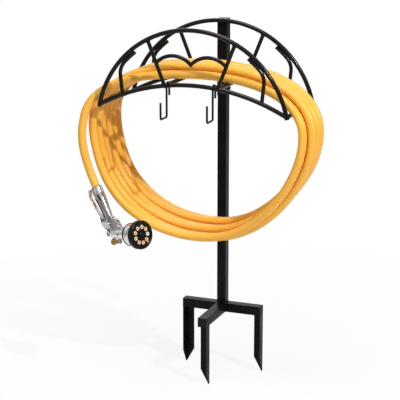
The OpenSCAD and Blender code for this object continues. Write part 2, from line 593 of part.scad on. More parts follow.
module dial() color([0.07, 0.07, 0.08]) in_nozzle() rotate([0, 90, 0]) difference() {
    rotate_extrude() polygon([[0, dial_back], [dial_r - 1.5, dial_back], [dial_r, dial_back + 1.5],
        [dial_r, dial_front - 2.5], [dial_r - 1, dial_front - 0.8], [dial_r - 3, dial_front],
        [dial_r - dial_rim + 1, dial_front], [dial_r - dial_rim, dial_face], [0, dial_face]]);
    translate([0, 0, dial_back - 1]) cylinder(h = dial_depth + 2, r = axle_r + pin_clearance);
    around_outlets() translate([0, 0, dial_face - 4]) cylinder(h = 10, d = outlet_d);
    for (a = [0:15:359]) rotate([0, 0, a]) translate([dial_r + 1.2, 0, dial_back + 3])
        cylinder(h = dial_depth - 6, r = 2);
}
module spray_outlets() color([0.9, 0.78, 0.45]) in_nozzle() rotate([0, 90, 0]) around_outlets()
    translate([0, 0, dial_face - 4]) difference() {
        cylinder(h = 5, d = outlet_d);
        translate([0, 0, 2]) cylinder(h = 10, d = outlet_d * 0.45);
    }
module dial_screw() color([0.1, 0.1, 0.1]) in_nozzle() rotate([0, 90, 0])
    translate([0, 0, dial_face]) rotate_extrude() polygon([[0, 0], [axle_r, 0], [axle_r, dial_gap],
        [axle_r + 3, dial_gap], [axle_r + 3, 1.6], [axle_r + 1, 2.6], [0, 2.6]]);

// Lever: a strip bent along the rear of the grip, two ears and an open fork
lever_line = [[-72, 116.5], [-73.5, 94], [-60, 75.5], [-48, 57], [-32.5, 34.5], [-16, 14.5],
    [-8, 8], [-8, -4]];
ear_gap = 0.4;
ear_wall = 2;
ear_half = pivot_half + ear_gap + ear_wall;
function side_of(p, i) = let (
    a = unit(p[min(len(p) - 1, i + (i == len(p) - 1 ? 0 : 1))] - p[i == len(p) - 1 ? i - 1 : i]),
    b = unit(p[i == 0 ? 1 : i] - p[i == 0 ? 0 : i - 1]), n = unit([-(a + b)[1], (a + b)[0]]))
    n / (n * [-a[1], a[0]]);
function strip(p, t) = concat([for (i = [0:len(p) - 1]) p[i] + side_of(p, i) * t / 2],
    [for (i = [len(p) - 1:-1:0]) p[i] - side_of(p, i) * t / 2]);
module lever() color([0.75, 0.75, 0.77]) in_nozzle() difference() {
    union() {
        intersection() {
            rotate([90, 0, 0]) linear_extrude(4 * ear_half, center = true)
                polygon(strip(lever_line, lever_thickness));
            rotate([90, 0, 90]) linear_extrude(400, center = true) polygon([
                [-lever_width / 2 - 1, 120], [lever_width / 2 + 1, 120], [lever_width / 2, 95],
                [lever_width / 2, 52], [ear_half, 35], [ear_half, 10], [6.5, 6], [6.5, -5],
                [-6.5, -5], [-6.5, 6], [-ear_half, 10], [-ear_half, 35], [-lever_width / 2, 52],
                [-lever_width / 2, 95]]);
        }
        for (s = [-1, 1]) translate([0, s * (ear_half - ear_wall / 2), 0]) rotate([90, 0, 0])
            linear_extrude(ear_wall, center = true) union() {
                translate(pivot_at) circle(5.5);
                polygon([[-32, 34.2], [pivot_at[0] + 1, pivot_at[1] + 5.4],
                    [pivot_at[0], pivot_at[1]], [pivot_at[0] - 2.5, pivot_at[1] - 4.9],
                    [-15.5, 14.2]]);
            }
    }
    translate([pivot_at[0], 0, pivot_at[1]]) rotate([90, 0, 0])
        cylinder(h = 60, r = pivot_r + pin_clearance, center = true);
    translate([-30, -stem_r - 0.4, -10]) cube([40, 2 * stem_r + 0.8, 10]);
    translate([-30, 0, 0]) rotate([0, 90, 0]) cylinder(h = 40, r = stem_r + 0.4);
}
module lever_pin() color([0.6, 0.6, 0.62]) in_nozzle() translate([pivot_at[0], 0, pivot_at[1]])
    rotate([90, 0, 0]) {
        cylinder(h = 2 * ear_half + 0.8, r = pivot_r, center = true);
        for (s = [-1, 1]) translate([0, 0, s * (ear_half + 0.4 + 0.9)])
            cylinder(h = 1.8, r = pivot_r + 1.2, center = true);
    }
knob_seat = lever_line[7][0] - lever_thickness / 2 - 0.35;
module valve_stem() color([0.7, 0.7, 0.7]) in_nozzle() translate([knob_seat - 4, 0, 0])
    rotate([0, 90, 0]) cylinder(h = 26 - knob_seat, r = stem_r);
module stem_knob() color([0.72, 0.52, 0.22]) in_nozzle() translate([knob_seat, 0, 0])
    rotate([0, -90, 0]) difference() {
        rotate_extrude() polygon([[0, 0], [stem_knob_r - 1, 0], [stem_knob_r, 1], [stem_knob_r, 5],
            [stem_knob_r - 1, 6], [3.5, 6], [3.5, 7.5], [0, 7.5]]);
        translate([0, 0, -1]) cylinder(h = 5, r = stem_r);
        for (a = [0:20:359]) rotate([0, 0, a]) translate([stem_knob_r + 0.7, 0, -1])
            cylinder(h = 10, r = 1.2);
    }
module flow_knob() color([0.7, 0.5, 0.2]) in_nozzle() translate([0, 0, flow_drop]) rotate([0, 90, 0])
    difference() {
        rotate_extrude() polygon([[0, 0], [flow_knob_r - 1, 0], [flow_knob_r, 1.2],
            [flow_knob_r - 0.3, 5], [4.4, 19], [4.4, 24.7], [0, 24.7]]);
        translate([0, 0, 19.5]) cylinder(h = 10, r = 2.5 + pin_clearance);
    }

lower_post();
upper_post();
post_cap();
left_arm();
right_arm();
front_arm();
arm_end_plugs();
left_prong();
right_prong();
front_prong();
sleeve_bolt();
sleeve_washers();
sleeve_nut();
front_arch();
front_lower_arc();
front_spokes();
front_curls();
double_arch();
back_arch();
back_lower_arc();
back_spokes();
back_curls();
corner_rods();
inner_rods();
left_hook();
right_hook();
hose_coil();
hose_tail();
hose_ferrule();
swivel_nut();
hose_washer();
hose_male_end();
inlet_washer();
inlet_collar();
nozzle_body();
barrel_ring();
dial_collar();
dial();
spray_outlets();
dial_screw();
lever_pin();
lever();
valve_stem();
stem_knob();
flow_knob();
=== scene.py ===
"""Looks of the freestanding hose holder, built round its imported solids.

The stand, its two hooks and the fittings keep their solids and get a finish.
The hose, the nozzle's casting, lever, dial and outlets are made here as
smooth surfaces that replace their plainer solids. All lengths that a class
keeps are in millimetres, as in the solids' own source, and reach the meshes
in metres.
"""

import logging
import math
from dataclasses import dataclass
from enum import Enum
from typing import Optional, Sequence

import bpy
import numpy as np
from bpy.types import ID, Material, Node, NodeSocket, NodeTree, Object, World
from mathutils import Matrix, Vector


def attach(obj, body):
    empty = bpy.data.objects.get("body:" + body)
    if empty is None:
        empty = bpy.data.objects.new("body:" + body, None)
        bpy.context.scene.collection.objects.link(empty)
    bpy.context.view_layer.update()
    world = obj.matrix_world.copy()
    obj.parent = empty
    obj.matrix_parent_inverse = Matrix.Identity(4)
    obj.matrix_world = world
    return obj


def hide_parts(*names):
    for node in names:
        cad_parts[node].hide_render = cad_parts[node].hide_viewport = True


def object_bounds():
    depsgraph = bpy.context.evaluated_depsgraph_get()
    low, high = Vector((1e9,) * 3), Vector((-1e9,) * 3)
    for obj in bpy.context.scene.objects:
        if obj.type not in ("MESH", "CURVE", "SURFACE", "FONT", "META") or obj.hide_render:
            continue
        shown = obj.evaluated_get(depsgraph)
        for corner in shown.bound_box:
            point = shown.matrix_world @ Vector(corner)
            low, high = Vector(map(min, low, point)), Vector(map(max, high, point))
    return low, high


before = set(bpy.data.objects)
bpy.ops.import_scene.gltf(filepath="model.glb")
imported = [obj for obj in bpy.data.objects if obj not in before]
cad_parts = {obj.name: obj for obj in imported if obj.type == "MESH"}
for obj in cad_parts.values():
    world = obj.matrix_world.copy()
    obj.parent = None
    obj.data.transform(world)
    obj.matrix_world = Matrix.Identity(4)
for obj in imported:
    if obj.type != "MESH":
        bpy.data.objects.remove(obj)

LOG = logging.getLogger("hose_holder")
CAD_BOX = [list(corner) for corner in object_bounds()]
MM = 0.001
GROUND = CAD_BOX[0][2]
TINY = 1e-9
Colour = tuple[float, float, float]
Place = tuple[float, float, float]
Pair = tuple[float, float]
Faces = list[list[int]]
Part = tuple[np.ndarray, Faces]


def linked(name: str, data: ID) -> Object:
    """Makes an object of a mesh, camera or light and puts it into the scene.

    Args:
        name: The object's name.
        data: What it shows.

    Returns:
        The object.
    """
    made = bpy.data.objects.new(name, data)
    bpy.context.scene.collection.objects.link(made)
    return made


# Meshes


def unit(vectors: np.ndarray) -> np.ndarray:
    """Each vector over its length."""
    return vectors / np.linalg.norm(vectors, axis=-1)[..., None]


def circle(count: int, start: float = 0.0) -> np.ndarray:
    """Angles of points spread evenly round a circle.

    Args:
        count: Number of points.
        start: Place of the first point, in steps.

    Returns:
        The angles in radians.
    """
    return 2 * np.pi * (np.arange(count) + start) / count


def squared(angle: np.ndarray, across: float, up: float) -> tuple[np.ndarray, np.ndarray]:
    """Presses a circle towards a square: |cos a|^across and |sin a|^up.

    Args:
        angle: Angle a of each point.
        across: Power of the cosine.
        up: Power of the sine.

    Returns:
        The two parts, each with the sign of its cosine or sine.
    """
    c, s = np.cos(angle), np.sin(angle)
    return np.sign(c) * np.abs(c) ** across, np.sign(s) * np.abs(s) ** up


def make_object(name: str, vertices: np.ndarray, faces: Faces,
                uv: Optional[np.ndarray] = None) -> Object:
    """Puts vertices and faces into a new smooth object at the origin.

    The signed volume, a third of the sum of each face's corner times its
    area vector, tells whether the faces point inwards, and then turns them.

    Args:
        name: The piece's name.
        vertices: An array of points in metres, three to a row.
        faces: Corner numbers of each face.
        uv: One pair for each corner of each face, or None.

    Returns:
        The linked object.
    """
    mesh = bpy.data.meshes.new(name)
    mesh.from_pydata(vertices.tolist(), [], faces)
    if uv is not None:
        layer = mesh.uv_layers.new(name="UVMap")
        layer.data.foreach_set("uv", uv.astype(np.float32).ravel())
    mesh.calc_loop_triangles()
    corners = np.zeros(len(mesh.loop_triangles) * 3, np.int32)
    mesh.loop_triangles.foreach_get("vertices", corners)
    a, b, c = (vertices[corners.reshape(-1, 3)[:, i]] for i in range(3))
    if np.einsum("ij,ij->i", a - vertices.mean(0), np.cross(b - a, c - a)).sum() < 0:
        mesh.flip_normals()
    mesh.shade_smooth()
    mesh.update()
    return linked(name, mesh)


def grid_faces(rows: int, sides: int, loop: bool = False) -> np.ndarray:
    """Numbers the four-cornered faces of a grid whose rows close on themselves.

    Args:
        rows: Rows of points.
        sides: Points in a row, the last of which meets the first.
        loop: True if the last row meets the first as well.

    Returns:
        An array of faces, four corner numbers each, row by row.
    """
    i, k = np.meshgrid(np.arange(rows - (0 if loop else 1)), np.arange(sides), indexing="ij")
    down, right = (i + 1) % rows, (k + 1) % sides
    return np.stack([i * sides + k, down * sides + k, down * sides + right,
                     i * sides + right], -1).reshape(-1, 4)


def ring_faces(rows: int, sides: int, loop: bool) -> Faces:
    """Faces of a row of rings, with a flat cap at each end unless it is a loop.

    Args:
        rows: Number of rings.
        sides: Points in a ring.
        loop: True if the last ring meets the first, as on a hoop.

    Returns:
        Corner numbers of each face, the caps last.
    """
    faces = grid_faces(rows, sides, loop).tolist()
    if not loop:
        first = list(range(sides))
        faces += [first, [(rows - 1) * sides + k for k in reversed(first)]]
    return faces


def skin(name: str, rings: np.ndarray, lengths: Optional[np.ndarray] = None,
         loop: bool = False) -> Object:
    """Makes a closed surface from rings of points, with a flat cap at each end.

    Args:
        name: The piece's name.
        rings: Points in metres, one row of points for each ring.
        lengths: Distance of each ring along the piece, for a UV map of
            (turn round the ring, distance), or None for no map.
        loop: True if the last ring meets the first, as on a hoop.

    Returns:
        The object.
    """
    rows, sides = rings.shape[:2]
    uv = None
    if lengths is not None:
        turn = np.tile(np.arange(sides), rows - 1) / sides
        near, far = np.repeat(lengths[:-1], sides), np.repeat(lengths[1:], sides)
        corners = ((0, near), (0, far), (1, far), (1, near))
        uv = np.stack([np.stack([turn + step / sides, at], -1) for step, at in corners], 1)
        caps = np.zeros((2 * sides, 2))
        uv = np.vstack([uv.reshape(-1, 2), caps])
    return make_object(name, rings.reshape(-1, 3), ring_faces(rows, sides, loop), uv)


def gathered(parts: Sequence[Part]) -> Part:
    """Puts the vertices and faces of several parts behind each other.

    Args:
        parts: The parts.

    Returns:
        One part of them all.
    """
    start, faces = 0, []
    for vertices, listed in parts:
        faces += [[start + k for k in face] for face in listed]
        start += len(vertices)
    return np.vstack([vertices for vertices, _ in parts]), faces


def merged(name: str, parts: Sequence[Part], grain: float, rounds: int) -> Object:
    """Grows closed parts that overlap into one casting with soft edges.

    The parts go into one mesh. A voxel remesh makes one skin of them and a
    smoothing rounds its edges, both kept live.

    Args:
        name: The piece's name.
        parts: Vertices in metres and outward faces of each part.
        grain: Side of the voxels, in millimetres.
        rounds: Rounds of smoothing.

    Returns:
        The object.
    """
    made = make_object(name, *gathered(parts))
    skinned = made.modifiers.new("one skin", "REMESH")
    skinned.mode, skinned.voxel_size, skinned.use_smooth_shade = "VOXEL", grain * MM, True
    soft = made.modifiers.new("soft edges", "SMOOTH")
    soft.factor, soft.iterations = 0.5, rounds
    return made


def tube_part(rings: np.ndarray, loop: bool = False) -> Part:
    """Vertices and outward faces of rings, for a part of a merged casting.

    The faces are turned where the signed volume, the sum of each face's
    middle times its area vector, comes out below nothing.

    Args:
        rings: One row of points for each ring.
        loop: True if the last ring meets the first.

    Returns:
        The vertices and the faces.
    """
    rows, sides = rings.shape[:2]
    faces = ring_faces(rows, sides, loop)
    points = rings.reshape(-1, 3)
    quads = points[grid_faces(rows, sides, loop)]
    area = np.cross(quads[:, 2] - quads[:, 0], quads[:, 3] - quads[:, 1]) / 2
    volume = np.einsum("ij,ij->i", quads.mean(1) - points.mean(0), area).sum()
    return points, faces if volume > 0 else [face[::-1] for face in faces]


def directions(path: np.ndarray) -> np.ndarray:
    """Unit tangents of a path, by differences between each point's neighbours."""
    return unit(np.gradient(path, axis=0))


def rings_round(path: np.ndarray, side: np.ndarray, up: np.ndarray, radius: np.ndarray,
                count: int) -> np.ndarray:
    """Rings of a round bar: centre + radius (cos a * side + sin a * up).

    Args:
        path: Centres of the rings, one to a row.
        side: Unit vector across the path at each centre.
        up: Unit vector across both.
        radius: Radius of each ring.
        count: Points in a ring.

    Returns:
        One row of points for each ring.
    """
    angle = circle(count)[None, :, None]
    return path[:, None] + radius[:, None, None] * (np.cos(angle) * side[:, None]
                                                    + np.sin(angle) * up[:, None])


def tube_rings(path: np.ndarray, radius: np.ndarray, sides: int) -> np.ndarray:
    """Rings of a round tube along a path.

    Side is the Y axis crossed with the tangent, and up the tangent crossed
    with side, so that the rings don't twist along a path that never runs
    along Y.

    Args:
        path: Centres of the rings.
        radius: Radius of each ring.
        sides: Points in a ring.

    Returns:
        An array of rings of points.
    """
    way = directions(path)
    side = unit(np.cross([0.0, 1.0, 0.0], way))
    return rings_round(path, side, np.cross(way, side), radius, sides)


def natural_spline(through: Sequence[Sequence[float]] | np.ndarray,
                   spacing: float) -> np.ndarray:
    """Samples the natural cubic spline through points, evenly along its chords.

    The second derivatives at the points solve the usual three-banded system,
    with none at the two ends, and each stretch is the cubic that they give.

    Args:
        through: The points to pass through, one to a row.
        spacing: Distance between samples.

    Returns:
        The samples, from the first point to the last.
    """
    points = np.array(through, float)
    chord = np.linalg.norm(np.diff(points, axis=0), axis=1)
    along = np.concatenate([[0.0], np.cumsum(chord)])
    count = len(points)
    band, right = np.zeros((count, count)), np.zeros_like(points)
    band[0, 0] = band[-1, -1] = 1
    i = np.arange(1, count - 1)
    band[i, i - 1], band[i, i + 1] = chord[:-1], chord[1:]
    band[i, i] = 2 * (chord[:-1] + chord[1:])
    right[1:-1] = 6 * np.diff(np.diff(points, axis=0) / chord[:, None], axis=0)
    bend = np.linalg.solve(band, right)
    at = np.linspace(0, along[-1], int(along[-1] / spacing) + 1)
    k = np.clip(np.searchsorted(along, at, side="right") - 1, 0, count - 2)
    a, b, h = (along[k + 1] - at)[:, None], (at - along[k])[:, None], chord[k][:, None]
    return ((bend[k] * a**3 + bend[k + 1] * b**3) / (6 * h)
            + (points[k] / h - bend[k] * h / 6) * a
            + (points[k + 1] / h - bend[k + 1] * h / 6) * b)


def revolved(profile: Sequence[Pair], sides: int,
             ribs: Optional[tuple[int, float, float, float]] = None) -> np.ndarray:
    """Turns a profile of (distance along u, radius) into rings round the u axis.

    With ribs, each radius between the two given distances is drawn in by
    depth times the cosine's upper half to the fourth power, which cuts
    even rounded flutes.

    Args:
        profile: Points of the outline from one end to the other.
        sides: Points in a ring.
        ribs: Number of flutes, their depth, and where they start and end.

    Returns:
        Rings of points in a frame of (u, side, v).
    """
    along, radius = np.array(profile, float).T
    angle = circle(sides)
    size = np.repeat(radius[:, None], sides, 1)
    if ribs is not None:
        count, depth, start, end = ribs
        inside = ((along >= start) & (along <= end)).astype(float)[:, None]
        flute = np.clip(np.cos(count * angle), 0, 1) ** 4
        size = size - inside * depth * flute[None]
    return np.stack([np.repeat(along[:, None], sides, 1), size * np.sin(angle),
                     size * np.cos(angle)], -1)


def rounded(profile: Sequence[Pair], radius: float, steps: int = 3,
            most: float = 0.45) -> list[Pair]:
    """Rounds the corners of an open outline.

    Each inner corner is replaced by points of the curve
    (1-t)^2 a + 2t(1-t) corner + t^2 b between its two cut-back sides.

    Args:
        profile: The outline's points.
        radius: How far a corner is cut back along each side.
        steps: Number of stretches in each rounded corner.
        most: Greatest share of a side that is cut back.

    Returns:
        The rounded outline.
    """
    points = np.array(profile, float)
    made = [tuple(points[0])]
    for before, corner, after in zip(points[:-2], points[1:-1], points[2:]):
        a, b = (corner + leg * min(most, radius / max(np.linalg.norm(leg), TINY))
                for leg in (before - corner, after - corner))
        for t in np.linspace(0, 1, steps + 1):
            made.append(tuple((1 - t) ** 2 * a + 2 * t * (1 - t) * corner + t * t * b))
    return made + [tuple(points[-1])]


# Shader groups, each built once and placed in each material with its values


class Sockets:
    """Short ways to add nodes to a tree and to link them."""

    def __init__(self, tree: NodeTree) -> None:
        """Keeps the tree that the nodes go into."""
        self.tree = tree

    def add(self, kind: str, **values: object) -> Node:
        """Adds a node.

        Args:
            kind: The shader node's type, such as Math.
            values: Node properties by name, and socket values by name with
                underscores for spaces, or by a key that ends in the
                socket's number; a socket as value is linked.

        Returns:
            The node.
        """
        node = self.tree.nodes.new("ShaderNode" + kind)
        for key, value in values.items():
            if hasattr(node, key):
                setattr(node, key, value)
                continue
            name = key.replace("_", " ")
            found = [s for s in node.inputs if s.name == name and s.enabled]
            socket = found[0] if found else node.inputs[int(key.split("_")[-1])]
            if isinstance(value, NodeSocket):
                self.tree.links.new(value, socket)
            else:
                socket.default_value = value
        return node

    def feed(self, node: Node, **sources: NodeSocket) -> None:
        """Links sockets to a node's inputs, named with underscores for spaces."""
        for key, source in sources.items():
            self.tree.links.new(source, node.inputs[key.replace("_", " ")])

    def calc(self, operation: str, *values: object) -> NodeSocket:
        """Adds a Math node on one or two values and gives its output."""
        named = {f"Value_{i}": value for i, value in enumerate(values)}
        return self.add("Math", operation=operation, **named).outputs[0]

    def ranged(self, value: NodeSocket, **values: object) -> NodeSocket:
        """Adds a Map Range node and gives its output."""
        return self.add("MapRange", Value=value, **values).outputs["Result"]

    def mixed(self, factor: NodeSocket, first: object,
              second: object) -> NodeSocket:
        """Adds a Mix node of two colours, its inputs 6 and 7, and gives its output."""
        return self.add("Mix", data_type="RGBA", Factor=factor, A_6=first,
                        B_7=second).outputs[2]


def bare_tree(owner: Material | World) -> Sockets:
    """Turns on the nodes of a material or world and empties its tree."""
    owner.use_nodes = True
    owner.node_tree.nodes.clear()
    return Sockets(owner.node_tree)


def new_group(name: str, inputs: Sequence[tuple[str, str, object]],
              outputs: Sequence[tuple[str, str]]) -> tuple[NodeTree, Node, Node]:
    """Makes an empty shader node group.

    Args:
        name: The group's name.
        inputs: Each input's name, kind and first value.
        outputs: Each output's name and kind.

    Returns:
        The group, its input node and its output node.
    """
    tree = bpy.data.node_groups.new(name, "ShaderNodeTree")
    for label, kind, value in inputs:
        socket = tree.interface.new_socket(label, in_out="INPUT", socket_type="NodeSocket" + kind)
        if value is not None:
            socket.default_value = value
    for label, kind in outputs:
        tree.interface.new_socket(label, in_out="OUTPUT", socket_type="NodeSocket" + kind)
    return tree, tree.nodes.new("NodeGroupInput"), tree.nodes.new("NodeGroupOutput")


def mottle_group() -> NodeTree:
    """Group of slow and fine noise that mixes two colours and two roughnesses.

    Returns:
        The group: colour, roughness and the mask between 0 and 1.
    """
    tree, start, end = new_group(
        "mottle",
        [("Vector", "Vector", None), ("Scale", "Float", 30.0),
         ("Colour A", "Color", (1, 1, 1, 1)), ("Colour B", "Color", (0, 0, 0, 1)),
         ("Rough A", "Float", 0.3), ("Rough B", "Float", 0.5)],
        [("Colour", "Color"), ("Roughness", "Float"), ("Mask", "Float")])
    s = Sockets(tree)
    given = start.outputs
    slow = s.add("TexNoise", Vector=given["Vector"], Scale=given["Scale"], Detail=3.0,
                 Roughness=0.55)
    mask = s.ranged(slow.outputs["Fac"], From_Min=0.32, From_Max=0.68)
    s.feed(end, Colour=s.mixed(mask, given["Colour A"], given["Colour B"]),
           Roughness=s.ranged(mask, To_Min=given["Rough A"], To_Max=given["Rough B"]), Mask=mask)
    return tree


def grain_group() -> NodeTree:
    """Group that turns fine noise into a bumped normal, for paint and castings.

    Returns:
        The group: the normal and the height that made it.
    """
    tree, start, end = new_group(
        "grain",
        [("Vector", "Vector", None), ("Scale", "Float", 800.0), ("Strength", "Float", 0.1),
         ("Depth", "Float", 0.0002)],
        [("Normal", "Vector"), ("Height", "Float")])
    s = Sockets(tree)
    given = start.outputs
    fine = s.add("TexNoise", Vector=given["Vector"], Scale=given["Scale"], Detail=2.0,
                 Roughness=0.5)
    bump = s.add("Bump", Strength=given["Strength"], Distance=given["Depth"],
                 Height=fine.outputs["Fac"])
    s.feed(end, Normal=bump.outputs["Normal"], Height=fine.outputs["Fac"])
    return tree


STREAK_DRAW = 1.6


def ribbon_group() -> NodeTree:
    """Group of the hose's lengthwise streaks and its faint crossed yarns.

    The streaks are noise at (cos turn, sin turn, STREAK_DRAW times the
    distance), so they are drawn out along the hose. The yarns are two sine
    waves of turn plus and minus distance, whose larger one shows through
    the skin.

    Returns:
        The group: a streak mask and a yarn height.
    """
    tree, start, end = new_group(
        "hose_lines",
        [("UV", "Vector", None), ("Yarns", "Float", 8.0), ("Pitch", "Float", 45.0)],
        [("Streak", "Float"), ("Yarn", "Float")])
    s = Sockets(tree)
    given = start.outputs
    apart = s.add("SeparateXYZ", Vector=given["UV"]).outputs
    turn = s.calc("MULTIPLY", apart["X"], 2 * math.pi)
    around = s.add("CombineXYZ", X=s.calc("COSINE", turn), Y=s.calc("SINE", turn),
                   Z=s.calc("MULTIPLY", apart["Y"], STREAK_DRAW))
    streak = s.add("TexNoise", Vector=around.outputs["Vector"], Scale=5.0, Detail=3.0)
    strands = s.calc("MULTIPLY", turn, given["Yarns"])
    lays = s.calc("MULTIPLY", apart["Y"], given["Pitch"])
    waves = [s.calc("SINE", s.calc("ADD", strands, s.calc("MULTIPLY", lays, way * 2 * math.pi)))
             for way in (1.0, -1.0)]
    s.feed(end, Streak=streak.outputs["Fac"], Yarn=s.calc("MAXIMUM", *waves))
    return tree


GROUPS: dict[str, NodeTree] = {}


def group(name: str) -> NodeTree:
    """Gives a shared node group, built at its first use.

    Args:
        name: The group's name.

    Returns:
        The group.
    """
    makers = {"mottle": mottle_group, "grain": grain_group, "hose_lines": ribbon_group}
    if name not in GROUPS:
        GROUPS[name] = makers[name]()
    return GROUPS[name]


# Finishes

MATERIALS: dict["Finish", Material] = {}


@dataclass(frozen=True)
class Finish:
    """A plain solid finish: paint, plastic, rubber or metal, by its values.

    Attributes:
        name: Name of the material.
        light: Its colour where the mottle is light.
        dark: Its colour where the mottle is dark.
        smooth: Its least roughness.
        rough: Its greatest roughness.
        metal: 1 for bare metal, or 0.
        mottle_scale: Patches to the metre.
        grain_scale: Grains to the metre.
        grain: Strength of the grain's bump.
        grain_depth: Height of the grain, in metres.
        gloss: Level of the reflection on what isn't metal.
    """

    name: str
    light: Colour
    dark: Colour
    smooth: float = 0.3
    rough: float = 0.5
    metal: float = 0.0
    mottle_scale: float = 30.0
    grain_scale: float = 900.0
    grain: float = 0.1
    grain_depth: float = 0.0002
    gloss: float = 0.5

    def material(self) -> Material:
        """Gives this finish's material, built at its first use.

        Returns:
            The material.
        """
        if self in MATERIALS:
            return MATERIALS[self]
        made = MATERIALS[self] = bpy.data.materials.new(self.name)
        s = bare_tree(made)
        place = s.add("TexCoord")
        shader = s.add("BsdfPrincipled", Metallic=self.metal, Specular_IOR_Level=self.gloss)
        self.surface(s, place, shader)
        s.feed(s.add("OutputMaterial"), Surface=shader.outputs["BSDF"])
        made.diffuse_color = (*self.light, 1.0)
        return made

    def surface(self, s: Sockets, place: Node, shader: Node) -> None:
        """Links mottle and grain, both on Object coordinates, to the shader.

        Args:
            s: Sockets of the material's tree.
            place: The node that gives the coordinates.
            shader: The shader that the looks go into.
        """
        patches = s.add("Group", node_tree=group("mottle"),
                        Vector=place.outputs["Object"], Scale=self.mottle_scale,
                        Colour_A=(*self.light, 1.0), Colour_B=(*self.dark, 1.0),
                        Rough_A=self.smooth, Rough_B=self.rough).outputs
        grain = s.add("Group", node_tree=group("grain"),
                      Vector=place.outputs["Object"], Scale=self.grain_scale,
                      Strength=self.grain, Depth=self.grain_depth)
        s.feed(shader, Base_Color=patches["Colour"], Roughness=patches["Roughness"],
               Normal=grain.outputs["Normal"])


@dataclass(frozen=True)
class HoseSkin(Finish):
    """Satin rubber with lengthwise streaks and yarns that show faintly through.

    Attributes:
        yarn: Strength of the yarns' bump.
        streak: Share of the darker colour that the streaks bring.
    """

    yarn: float = 0.12
    streak: float = 0.5

    def surface(self, s: Sockets, place: Node, shader: Node) -> None:
        """Links the streaks and yarns, on the hose's UV map, to the shader.

        Args:
            s: Sockets of the material's tree.
            place: The node that gives the coordinates.
            shader: The shader that the looks go into.
        """
        lines = s.add("Group", node_tree=group("hose_lines"), UV=place.outputs["UV"]).outputs
        share = s.ranged(lines["Streak"], From_Min=0.35, From_Max=0.7, To_Max=self.streak)
        rough = s.ranged(lines["Streak"], From_Min=0.3, From_Max=0.7, To_Min=self.smooth,
                         To_Max=self.rough)
        bump = s.add("Bump", Strength=self.yarn, Distance=self.grain_depth, Height=lines["Yarn"])
        s.feed(shader, Base_Color=s.mixed(share, (*self.light, 1.0), (*self.dark, 1.0)),
               Roughness=rough, Normal=bump.outputs["Normal"])


BLACK_PAINT = Finish("powder_black", (0.005, 0.005, 0.0053), (0.0032, 0.0032, 0.0034), 0.3, 0.42,
                     grain_scale=1100.0, grain=0.22, gloss=0.11)
BLACK_WIRE = Finish("dipped_black", (0.004, 0.004, 0.0043), (0.0026, 0.0026, 0.0028), 0.16, 0.24,
                    grain_scale=500.0, grain=0.05, gloss=0.24)
CAP_PLASTIC = Finish("cap_plastic", (0.007, 0.007, 0.007), (0.005, 0.005, 0.005), 0.42, 0.55,
                     grain_scale=2500.0, grain=0.25, gloss=0.15)
DARK_STEEL = Finish("blackened_steel", (0.06, 0.06, 0.062), (0.03, 0.03, 0.031), 0.3, 0.45, 1.0,
                    grain_scale=1500.0, grain=0.1)
# Black rubber of the washers and the bell's ring, and also the painted shade of the grip's band
# and slot pads.
SEAL_AND_SHADE = Finish("soft_rubber_and_painted_shade", (0.006, 0.006, 0.006), (0.004, 0.004, 0.004), 0.5, 0.62, gloss=0.25)
BRASS = Finish("turned_brass", (0.72, 0.46, 0.17), (0.50, 0.29, 0.09), 0.2, 0.36, 1.0,
               mottle_scale=90.0, grain_scale=2200.0, grain=0.06)
DARK_BRASS = Finish("dark_brass", (0.46, 0.26, 0.085), (0.28, 0.14, 0.04), 0.22, 0.36, 1.0,
                    mottle_scale=90.0, grain_scale=2200.0, grain=0.06)
CHROME = Finish("chrome", (0.86, 0.86, 0.87), (0.74, 0.74, 0.75), 0.06, 0.13, 1.0,
                mottle_scale=60.0, grain_scale=600.0, grain=0.015)
SATIN_METAL = Finish("satin_metal", (0.50, 0.49, 0.48), (0.36, 0.35, 0.345), 0.18, 0.3, 1.0,
                     mottle_scale=70.0, grain_scale=900.0, grain=0.05)
CAST_METAL = Finish("cast_metal", (0.46, 0.445, 0.44), (0.32, 0.31, 0.305), 0.13, 0.22, 1.0,
                    mottle_scale=45.0, grain_scale=1400.0, grain=0.04)
SATIN_CHROME = Finish("satin_chrome", (0.93, 0.93, 0.93), (0.86, 0.86, 0.86), 0.2, 0.3, 1.0,
                      mottle_scale=60.0, grain_scale=1000.0, grain=0.02)
DIAL_PLASTIC = Finish("moulded_black", (0.006, 0.005, 0.0055), (0.004, 0.0034, 0.0038), 0.2, 0.3,
                      grain_scale=1800.0, grain=0.05, gloss=0.17)
HOSE = HoseSkin("hose_skin", (0.96, 0.50, 0.064), (0.86, 0.385, 0.036), 0.3, 0.44,
                grain_depth=0.0004, gloss=0.4, yarn=0.07, streak=0.45)

TINT_SHADE = 0.85


class OutletTint(Enum):
    """The moulded colours of the spray outlets and of the dial's index dot."""

    WHITE = (0.82, 0.82, 0.82)
    CREAM = (0.84, 0.60, 0.28)
    YELLOW = (0.84, 0.60, 0.20)
    ORANGE = (0.86, 0.50, 0.27)
    PINK = (0.84, 0.56, 0.42)

    def finish(self) -> Finish:
        """The glossy plastic of this colour.

        Returns:
            The finish.
        """
        dark = tuple(TINT_SHADE * c for c in self.value)
        return Finish(f"outlet_{self.name.lower()}", self.value, dark, 0.25, 0.35,
                      grain_scale=3000.0, grain=0.03)


def dress(piece: Object, finish: Finish, body: str,
          replaced: Sequence[str] = ()) -> Object:
    """Finishes a new piece, lets it ride on a body and hides the solids that it replaces.

    Args:
        piece: The new object.
        finish: Its finish.
        body: The body that it moves with.
        replaced: Solids that it stands for.

    Returns:
        The piece.
    """
    piece.data.materials.clear()
    piece.data.materials.append(finish.material())
    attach(piece, body)
    if replaced:
        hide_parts(*replaced)
    LOG.info("%s: %d faces on %s", piece.name, len(piece.data.polygons), body)
    return piece


# Camera, light and room


